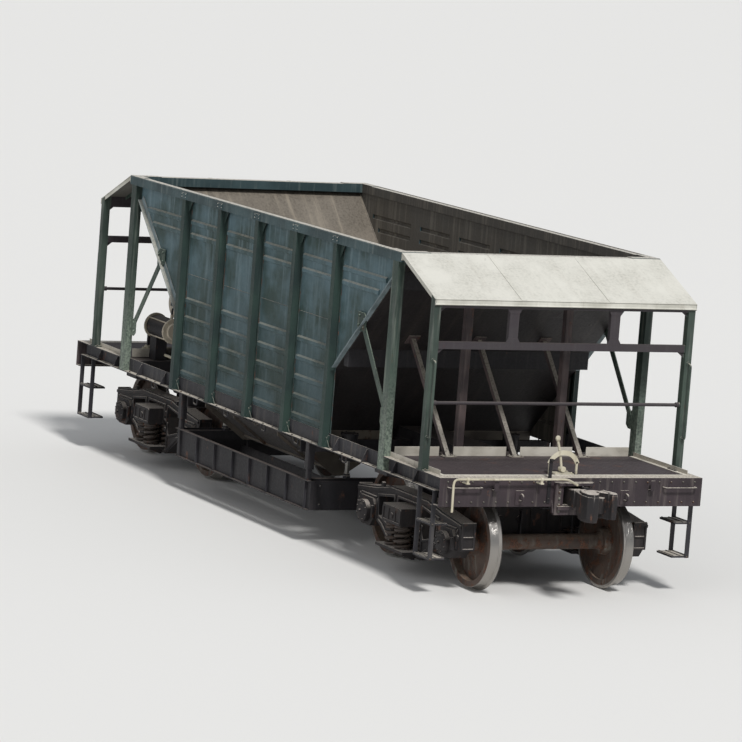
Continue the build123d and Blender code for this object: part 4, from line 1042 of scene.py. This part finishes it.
def makeCouplers():
    # claw head drawn in plan, with guard arm, lock teeth and stiffening fins, on a ribbed shank
    z, plane, neck, start, wide, ribX = pick(coupler, "z plane neck start wide ribX")
    head = [(-0.295, -0.065), (-0.175, -0.185), (-0.035, -0.215), (0.095, -0.215), (0.145, -0.165),
            (0.125, -0.095), (0.055, -0.075), (0.015, -0.12), (-0.05, -0.13), (-0.10, -0.06), (-0.10, 0.06),
            (-0.035, 0.10), (0.035, 0.11), (0.045, 0.165), (-0.035, 0.195), (-0.175, 0.175), (-0.295, 0.065)]
    guard = [(-0.16, -0.175), (-0.035, -0.213), (0.093, -0.213), (0.143, -0.165), (0.123, -0.097),
             (0.02, -0.115)]
    tooth = [(-0.16, 0.02), (-0.09, 0.03), (-0.03, 0.098), (0.034, 0.112), (0.043, 0.163), (-0.035, 0.193),
             (-0.15, 0.165)]
    lock = [(-0.12, -0.055), (-0.055, -0.045), (-0.02, 0.03), (-0.05, 0.075), (-0.12, 0.055)]
    parts = [plate(shape, deep, (plane, 0, z - deep / 2), axisX, axisY)
             for shape, deep in ((head, 0.24), (guard, 0.30), (tooth, 0.27), (lock, 0.17))]
    fin = [(-0.30, -0.10), (-0.16, -0.145), (-0.02, -0.145), (-0.02, 0.145), (-0.16, 0.145), (-0.30, 0.10)]
    parts += [plate(fin, 0.022, (plane, y + 0.011, z)) for y in (-0.105, 0.105)]
    shank = [(start, -0.085), (neck + 0.03, -0.085), (neck + 0.08, -0.12), (neck + 0.08, 0.12),
             (neck + 0.03, 0.085), (start, 0.085)]
    parts += [plate(shank, wide, (0, wide / 2, z)), block((ribX, 0, z), 0.025, 0.075, 0.095)]
    collar = [(0, -0.10), (0.05, -0.12), (0.05, 0.12), (0, 0.10)]
    parts.append(plate(collar, 0.20, (neck - 0.01, 0.10, z)))
    makePiece("couplerHeads", halfTurn(parts), "castSteel", 0.007, 45, instead=("couplers",))


uncoupling = {"out": 0.085, "handleY": -1.44, "hang": 0.34, "armY": -0.12, "reach": 0.22,
              "brackets": (-1.28, -0.42)}


def makeUncoupling():
    # bent rod across the headstock on two brackets, its handle hanging at the side, its arm over the head
    out, handleY, hang, armY, reach = pick(uncoupling, "out handleY hang armY reach")
    x, z = headX + out, sillHigh
    run = [(x + 0.01, handleY, z - hang), (x, handleY, z), (x, armY, z), (x + reach, armY, z - 0.02)]
    parts = [tube(rounded(run, 0.06), 0.0125, 10)]
    for y in uncoupling["brackets"]:
        parts += [bar((headX - 0.004, y - 0.02, z - 0.05), (x + 0.02, y + 0.02, z - 0.038)),
                  pin((x, y, z), axisY, -0.014, 0.014, 0.022, 14),
                  bar((x - 0.012, y - 0.012, z - 0.045), (x + 0.012, y + 0.012, z - 0.012))]
    makePiece("uncouplingRods", halfTurn(parts), "leverPaint", 0.0008)


lampIron = {"y": -0.267, "wide": 0.036, "thick": 0.014, "foot": -0.26, "head": 0.202, "bolts": (-0.22, -0.06)}


def makeLampIrons():
    # flat iron bolted up the headstock beside the striker, bent outwards at its top
    y, wide, thick, foot, head = pick(lampIron, "y wide thick foot head")
    shape = [(0, foot), (thick, foot), (thick, 0.17), (0.05, 0.19), (0.05, head), (0, head)]
    sites = [(headX + thick, y - wide / 2, sillHigh + z) for z in lampIron["bolts"]]
    parts = [plate(shape, wide, (headX, y, sillHigh))] + bolts(sites, axisX, 0.022)
    makePiece("lampIrons", halfTurn(parts), "framePaint", 0.0008)


striker = {"low": -0.19, "high": 0.15, "face": 0.045, "rivetY": 0.175, "mouthHalf": 0.20,
           "lips": ((-0.135, -0.095), (0.118, 0.148))}
headstock = {"rivets": (0.32, 1.46), "gussetY": 0.24, "lampY": 0.95, "grab": (1.08, 1.46), "hookY": 0.62}


def makeHeadstockTrim():
    # rows of rivets, the striker's lips, and gusset, lamp bracket, grab handle and hook on each side
    x, z0, z1, middle = headX, railTop + 0.95, headstockBox[1][2], coupler["z"]
    low, high, face, rivetY, half, lipZ = pick(striker, "low high face rivetY mouthHalf lips")
    column = np.linspace(middle + low + 0.04, middle + high - 0.04, 5)
    row = np.linspace(*headstock["rivets"], 9)
    heads = rivets([(x + face, rivetY, z) for z in column], axisX, 0.032)
    heads += rivets([(x, y, z) for y in row for z in (z0 + 0.045, z1 - 0.045)], axisX, 0.022)
    makePiece("headstockRivets", fourCorners(heads), "fastenerSteel")
    lips = [bar((x + 0.043, -half, middle + a), (x + 0.075, half, middle + b)) for a, b in lipZ]
    lamp = [(0, 0), (0.06, 0), (0.06, 0.11), (0.05, 0.11), (0.05, 0.012), (0, 0.012)]
    gussetY, lampY, (near, far), hookY = pick(headstock, "gussetY lampY grab hookY")
    a = np.linspace(-0.5 * math.pi, 0.75 * math.pi, 14)
    hook = np.stack([x + 0.055 + 0.035 * np.cos(a), np.full(14, hookY), z0 + 0.10 + 0.035 * np.sin(a)], 1)
    parts = [
        plate([(0, 0), (0.045, 0), (0, 0.13)], 0.012, (x, gussetY, column[0] - 0.02)),
        plate(lamp, 0.05, (x, lampY, z1 - 0.13)),
        staple((x, near, z1 - 0.10), (0.06, 0, 0), (0, far - near, 0), 0.010, 0.03, axisZ),
        tube([(x, hookY, z0 + 0.065), *hook], 0.011, 8, axisY),
        bar((x, hookY - 0.05, z0 + 0.02), (x + 0.01, hookY + 0.05, z0 + 0.17)),
    ]
    makePiece("headstockTrim", bothEnds(lips + bothSides(parts)), "headPaint", 0.0012)


sills = {"eyes": (0.5, 1.35, 2.55), "gussets": (2.3, 3.0, 3.7, 4.2), "boltPitch": 0.25, "lastPost": 2.3}


def makeSillTrim():
    # lashing eyes between the posts, gussets at the cross bearers, and bolts wherever no post stands
    z, y, pitch = sillLow, sideY - 0.03, sills["boltPitch"]
    parts = [staple((x - 0.05, y, z), (0, 0, -0.07), (0.10, 0, 0), 0.008, 0.03, axisY) for x in sills["eyes"]]
    gusset = [(0, 0), (0.07, 0), (0.07, 0.01), (0.012, 0.138), (0, 0.138)]
    parts += [plate(gusset, 0.008, (x, sheetY + 0.008, z + 0.01), axisY) for x in sills["gussets"]]
    makePiece("sillTrim", fourCorners(parts), "sillPaint", 0.0012)
    row = [x for x in np.arange(pitch, 4.6, pitch) if abs(x - round(x)) > 0.12 or x > sills["lastPost"]]
    sites = [(x, sideY - 0.022, z + 0.01) for x in row]
    makePiece("sillBolts", fourCorners(bolts(sites, axisZ, 0.02)), "fastenerSteel")


steps = {"from": 4.357, "to": 4.673, "teeth": 16, "rows": (0.012, 0.097, 0.182), "rise": 0.02}


def makeStepTrim():
    # rows of teeth on each tread, and its bolts through the outer stile
    low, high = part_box("step_treads")
    tops, (start, end) = (low[2] + steps["rise"], high[2]), pick(steps, "from to")
    along = np.linspace(start + 0.015, end - 0.015, steps["teeth"])
    sites = [(x, sideY - y, z) for z in tops for y in steps["rows"] for x in along]
    tooth = bar((-0.005, -0.008, 0), (0.005, 0.008, 0.007))
    makePiece("stepTeeth", fourCorners([copies(tooth, sites)]), "sillPaint")
    sites = [(end + 0.012, sideY - 0.025, z - 0.01) for z in tops]
    makePiece("stepBolts", fourCorners(bolts(sites, axisX, 0.018)), "fastenerSteel")


brakeRod = {"y": 0.1, "z": railTop + 0.865, "half": 2.25, "hangTop": railTop + 0.90, "hangers": (0.6, 1.95),
            "jawX": 2.18, "pinX": 2.33}


def makeBrakeRods():
    # long pull rod below the centre sill in hangers, with a jaw at each end
    y, z, half, top, jawX, pinX = pick(brakeRod, "y z half hangTop jawX pinX")
    parts = []
    for x in brakeRod["hangers"]:
        hanger = [(x, y - 0.055, top), (x, y - 0.04, z - 0.03), (x, y + 0.04, z - 0.03), (x, y + 0.055, top)]
        parts.append(tube(rounded(hanger, 0.02), 0.007, 8, axisX))
        parts.append(bar((x - 0.02, 0.03, top - 0.008), (x + 0.02, 0.265, top)))
    jaw = [(0, -0.028), (0.16, -0.028), (0.18, 0), (0.16, 0.028), (0, 0.028)]
    parts += [plate(jaw, 0.014, (jawX, y + out, z)) for out in (-0.012, 0.024)]
    parts.append(pin((pinX, y, z), axisY, -0.045, 0.045, 0.013))
    rod = tube([(-half, y, z), (half, y, z)], 0.016, 10)
    makePiece("brakeRods", [rod] + bothEnds(parts), "framePaint", 0.0008)


def makeLiftTrim():
    # flanged heads of the lift cylinders and their tie bolts
    low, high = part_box("lift_cylinders")
    r, rim = 0.08, 0.098
    x, y = high[0] - r, high[1] - r
    ring = circle(6, r + 0.006, (x, y))
    parts = [turned([(0, rim), (0.022, rim), (0.026, r)], (x, y, high[2] - 0.024), axisZ, 28),
             pin((x, y, low[2] + 0.001), axisZ, 0, 0.022, rim, 28)]
    parts += bolts([(a, b, high[2] - 0.001) for a, b in ring], axisZ, 0.018)
    parts += [tube([(a, b, low[2] + 0.01), (a, b, high[2] - 0.01)], 0.006, 6) for a, b in ring]
    makePiece("liftCylinderTrim", fourCorners(parts), "framePaint")


for makeOne in (makeCouplers, makeUncoupling, makeLampIrons, makeHeadstockTrim, makeSillTrim, makeStepTrim,
                makeBrakeRods, makeLiftTrim):
    makeOne()
print("underframe dressed")

# bogies

frameY = 1.018                           # middle of the side frames, across
# radius of each coil and of its bar, turns, and sides of the bar
springs = {"coils": ((0.083, 0.015, 5.0, 8), (0.048, 0.009, 7.0, 6)), "pitch": 0.208, "rowGap": 0.182}


def coil(radius, barRadius, turns, sides, low, high):
    # helix x = r cos v, y = r sin v, its rise slowed at both ends so that the end turns lie flat
    u = np.linspace(0, 1, int(turns * 18) + 1)
    v = u * turns * 2 * np.pi
    rise = np.clip((u * turns - 0.7) / (turns - 1.4), 0, 1) * 0.86 + u * 0.14
    z = low + barRadius + rise * (high - low - 2 * barRadius)
    return tube(np.stack([radius * np.cos(v), radius * np.sin(v), z], 1), barRadius, sides, axisZ)


def makeSprings(end, x):
    # seven nests in three rows over each side frame's seat
    low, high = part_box(f"springs_{end}")
    pitch, gap = springs["pitch"], springs["rowGap"]
    spots = [(-pitch, 0), (0, 0), (pitch, 0)] + [(a * pitch / 2, b * gap) for a in (-1, 1) for b in (-1, 1)]
    sites = [(x + a, side * (frameY + b), 0) for side in (-1, 1) for a, b in spots]
    parts = [copies(coil(*one, low[2], high[2]), sites) for one in springs["coils"]]
    makePiece(f"coilSprings_{end}", parts, "springSteel", body=f"bogie_{end}", instead=(f"springs_{end}",))


cast = {"outer": 1.103, "rim": 0.028, "raise": 0.018, "reach": 1.205, "jaw": 0.185, "roof": axleZ + 0.155,
        "seat": 0.25, "springTop": 0.559, "bosses": ((0.275, 0.45), (0.275, 0.64), (1.14, 0.56)),
        "lugX": 0.60, "nose": (0.083, 0.432, 0.71), "brow": ((0.936, 1.100), 0.712), "webs": (-0.2, 0.0, 0.2)}


def makeSideFrameCasting(end, x):
    # outlines on the frame's outer face, along from the bogie's middle and up from the rail
    raised, outer, reach, jaw, roof, seat, top = pick(cast, "raise outer reach jaw roof seat springTop")
    jawIn, jawOut, roof = halfBase - jaw, halfBase + jaw, roof - railTop
    window = mirrored([(0.33, seat), (0.33, top - 0.04), (0.225, top), (0.225, 0.725)])
    sideHole = [(0.39, 0.40), (jawIn - 0.085, 0.47), (jawIn - 0.06, 0.67), (0.335, 0.72), (0.315, 0.60)]
    chord = mirrored([(0.43, 0.815), (jawIn, 0.755), (reach, 0.70), (reach, 0.665), (jawIn, 0.715),
                      (0.43, 0.775)])
    foot = mirrored([(0.33, 0.185), (jawIn - 0.13, 0.365), (jawIn - 0.04, 0.40), (jawIn - 0.07, 0.43),
                     (jawIn - 0.15, 0.40), (0.34, 0.225)])
    jaw = [(jawIn, 0.42), (jawIn, roof), (jawIn - 0.03, roof + 0.02), (jawIn - 0.03, 0.42)]
    heel = [(jawOut, 0.44), (jawOut, roof), (jawOut + 0.028, roof + 0.02), (jawOut + 0.028, 0.44)]
    lip = oblong((jawIn, roof), (jawOut, roof + 0.03))
    # raised rims round the openings and along the chords
    origin = (x, outer - 0.002 + raised, railTop)
    parts = [plate(outline, raised, origin) for outline in (chord, foot)]
    for outline in (window, sideHole, [(-a, b) for a, b in sideHole]):
        inner = counterClockwise(outline)
        parts.append(frameRing(inset(inner, -cast["rim"]), inner, raised, origin))
    # on each half: rims round the jaw, bosses, a lug, and the nose with its rim, cross rib and brow
    boss = [(0, 0.032), (0.012, 0.032), (0.018, 0.024), (0.02, 0.02)]
    (wide, low, high), (browY, browZ), lugX = pick(cast, "nose brow lugX")
    nose, rib = oblong((-wide, low), (wide, high)), oblong((-0.06, 0.555), (0.06, 0.580))
    for m in (-1, 1):
        noseX = x + m * reach
        noseOrigin = (noseX - m * 0.002, frameY, railTop)
        parts += [plate([(m * a, b) for a, b in outline], raised, origin) for outline in (jaw, heel, lip)]
        parts += [turned(boss, (x + m * a, outer - 0.002, railTop + b), axisY, 16) for a, b in cast["bosses"]]
        parts += [block((x + m * lugX, outer + 0.01, railTop + 0.815), 0.02, 0.02, 0.025),
                  frameRing(nose, inset(nose, 0.024), 0.016, noseOrigin, m * axisY),
                  plate(rib, 0.014, noseOrigin, m * axisY),
                  tube([(noseX, y, railTop + browZ) for y in browY], 0.018, 12, axisZ)]
    # shelf webs under the spring seat
    web = [(0, 0), (0.18, 0), (0.18, -0.015), (0.03, -0.07), (0, -0.07)]
    parts += [plate(web, 0.014, (x + a, outer - 0.004, railTop + seat - 0.03), axisY) for a in cast["webs"]]
    makePiece(f"sideFrameRims_{end}", bothSides(parts), "castSteel", 0.005, 45, f"bogie_{end}")


def makeAxleCovers(end, x):
    # domed cover with eight set screws and a filler plug on each axle box
    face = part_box(f"axle_boxes_{end}")[1][1]
    dome = [(-0.004, 0.122), (0.012, 0.122), (0.016, 0.116), (0.018, 0.088), (0.026, 0.076), (0.032, 0.05),
            (0.034, 0.02)]
    parts = []
    for axleX in (x - halfBase, x + halfBase):
        ring = circle(8, 0.102, (axleX, axleZ), 0.39)
        parts.append(turned(dome, (axleX, face, axleZ), axisY, 36))
        parts += bolts([(a, face + 0.014, b) for a, b in ring], axisY, 0.020)
        parts += bolts([(axleX, face + 0.033, axleZ)], axisY, 0.03)
        for keeperX in (axleX - 0.165, axleX + 0.165):
            parts.append(block((keeperX, face - 0.0325, axleZ + 0.015), 0.02, 0.0125, 0.065))
    makePiece(f"axleCovers_{end}", bothSides(parts), "castSteel", 0.001, body=f"bogie_{end}")


bolster = {"cages": (0.695, 0.817), "ribs": (0.25, 0.45, 0.62), "plug": (0.12, 0.58), "wedgeY": 1.118,
           "endHalf": 0.213, "endLow": 0.501, "endTop": 0.688, "corner": 0.045, "rim": 0.03,
           "endRibs": (-0.075, 0.075), "endPlug": 0.585, "bowl": 0.752}


def makeBolsterTrim(end, x):
    # side bearer cages, friction wedges in the columns, ribs and plugs on the bolster's flanks
    cage = mirrored([(0.14, 0), (0.14, 0.07), (0.112, 0.07), (0.112, 0.02)])
    wedge = [(0.217, 0.50), (0.223, 0.50), (0.223, 0.685), (0.19, 0.685), (0.16, 0.60)]
    plugY, plugZ = bolster["plug"]
    parts = [plate(cage, 0.012, (x, y + 0.012, railTop + 0.70)) for y in bolster["cages"]]
    for m in (-1, 1):
        parts.append(plate([(m * a, b) for a, b in wedge], 0.20, (x, bolster["wedgeY"], railTop)))
        parts += [block((x + m * 0.2205, y, railTop + 0.58), 0.0075, 0.008, 0.12) for y in bolster["ribs"]]
        parts.append(turned([(0, 0.045), (0.012, 0.045), (0.016, 0.036)],
                            (x + m * 0.214, plugY, railTop + plugZ), m * axisX, 18))
    # rounded rim, two ribs and a plug on each end
    half, low, top, corner, wide = pick(bolster, "endHalf endLow endTop corner rim")
    ribs, plugZ, bowlZ = pick(bolster, "endRibs endPlug bowl")
    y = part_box(f"bogie_bolster_{end}")[1][1]
    corners = oblong((-half, low), (half, top))
    rim = counterClockwise(rounded(corners + corners[:2], corner, 6)[1:25])
    parts.append(frameRing(rim, inset(rim, wide), 0.014, (x, y + 0.010, railTop)))
    low, top = railTop + low + 0.02, railTop + top - 0.02
    parts += [bar((x + a - 0.012, y - 0.001, low), (x + a + 0.012, y + 0.009, top)) for a in ribs]
    plug = [(-0.001, 0.034), (0.008, 0.034), (0.012, 0.028)]
    parts.append(turned(plug, (x, y, railTop + plugZ), axisY, 18))
    bowl = turned([(0, 0.225), (0.02, 0.225), (0.05, 0.205)], (x, 0, railTop + bowlZ), axisZ, 40)
    makePiece(f"bolsterTrim_{end}", bothSides(parts) + [bowl], "castSteel", 0.002, 45, f"bogie_{end}")


rigging = {"beamAt": 0.356, "beamZ": axleZ - 0.075, "strutY": 0.62, "hangers": (0.70, 0.90),
           "hangTop": railTop + 0.70, "rodHalf": 0.346, "rodZ": railTop + 0.355}


def makeBrakeRigging(end, x):
    # hangers, dead and live levers, the rod under the bolster, and the shoes' keys
    z, strutY, (near, far), hangZ, half, rodZ = pick(rigging, "beamZ strutY hangers hangTop rodHalf rodZ")
    lever = [(-0.03, -0.05), (0.03, -0.05), (0.045, 0.30), (-0.005, 0.30)]
    parts, sides = [], []
    for m in (-1, 1):
        beamX = x + m * rigging["beamAt"]
        leverX, footX, topX = (beamX - m * back for back in (0.01, 0.02, 0.06))
        rise = (topX - footX, 0, hangZ - z - 0.02)
        parts += [plate(lever, 0.018, (leverX, 0.009 + 0.05 * m, z)),
                  pin((leverX, 0.05 * m, z), axisY, -0.03, 0.03, 0.014),
                  tube([(beamX, -strutY, z), (beamX - m * 0.13, 0, z), (beamX, strutY, z)], 0.014, 8, axisZ)]
        sides += [staple((footX, near, z + 0.02), rise, (0, far - near, 0), 0.011, 0.04, axisX),
                  block((topX, far + 0.02, hangZ), 0.03, 0.015, 0.015),
                  block((beamX + m * 0.004, 0.785, axleZ + 0.02), 0.016, 0.015, 0.05)]
    parts.append(tube([(x - half, -0.05, rodZ), (x + half, 0.05, rodZ)], 0.015, 8, axisZ))
    makePiece(f"brakeRigging_{end}", parts + bothSides(sides), "framePaint", 0.001, body=f"bogie_{end}")


for end, middle in (("front", bogieX), ("rear", -bogieX)):
    for makeOne in (makeSprings, makeSideFrameCasting, makeAxleCovers, makeBolsterTrim, makeBrakeRigging):
        makeOne(end, middle)
print("bogies dressed")

# doors and metering frame

doors = {
    # name: hinge across, hinge height, meeting edge across, meeting height
    "outer": (1.44, railTop + 1.075, 0.903, railTop + 0.68),
    "inner": (0.49, railTop + 1.075, 0.895, railTop + 0.68),
}
doorTrim = {"arms": (-1.0, 0.0, 1.0), "bolts": (0.06, 0.095), "skin": 0.0105, "lip": (0.03, 0.022, 0.055)}


def makeDoorTrim(kind, sideName):
    # lip bar along the free edge, and the bolts of the hinge arms, below the plate
    name, (wide, thick, back) = f"door_{kind}_{sideName}", doorTrim["lip"]
    hingeY, hingeZ, edgeY, edgeZ = doors[kind]
    hinge, slope = np.array([0, hingeY, hingeZ]), np.array([0, edgeY - hingeY, edgeZ - hingeZ])
    length, down = np.linalg.norm(slope), unit(slope)
    along = np.sign(hingeY - edgeY) * axisX
    below = np.cross(along, down)
    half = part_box(name)[1][0] - 0.01
    skin = hinge + below * doorTrim["skin"]
    parts = [plate(oblong((-half, 0), (half, wide)), thick, skin + down * (length - back), along, down)]
    sites = [skin + down * d + (x + a) * axisX
             for x in doorTrim["arms"] for d in doorTrim["bolts"] for a in (-0.03, 0.03)]
    parts += bolts(sites, below, 0.018)
    if sideName == "right":
        parts = [flipped(part, 1) for part in parts]
    makePiece(f"doorTrim_{kind}_{sideName}", parts, "hopperPlate", 0.0008, body=name)


metering = {"ribsFrom": 0.22, "ribs": 4, "ribDeep": 0.03, "boltsY": (0.3, 0.9, 1.4), "rodY": 1.0}


def makeMeteringTrim():
    # upright stiffeners between the side boards' flanges, corner bolts, and lock nuts on the lift rods
    low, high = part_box("metering_side_boards")
    z0, z1 = low[2] + 0.008, high[2] - 0.008
    start, count, deep = pick(metering, "ribsFrom ribs ribDeep")
    rib = oblong((0, 0), (deep, z1 - z0))
    row = np.linspace(start, high[0] - 0.10, count)
    parts = [plate(rib, 0.008, (x, high[1] - 0.038, z0), axisY) for x in row]
    sites = [(high[0], y, z) for y in metering["boltsY"] for z in (z0 + 0.05, z1 - 0.05)]
    parts += bolts(sites, axisX, 0.022)
    rod = (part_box("lift_rods")[1][0] - 0.025, metering["rodY"], high[2])
    nuts = [(0, 0.045), (0.03, 0.045), (0.034, 0.038)], [(0.034, 0.040), (0.055, 0.040), (0.058, 0.034)]
    parts += [turned(nut, rod, axisZ, 6) for nut in nuts]
    makePiece("meteringTrim", fourCorners(parts), "sillPaint", 0.0008, body="metering")


for sideName in ("left", "right"):
    for kind in doors:
        makeDoorTrim(kind, sideName)
makeMeteringTrim()
print("doors and metering frame dressed")
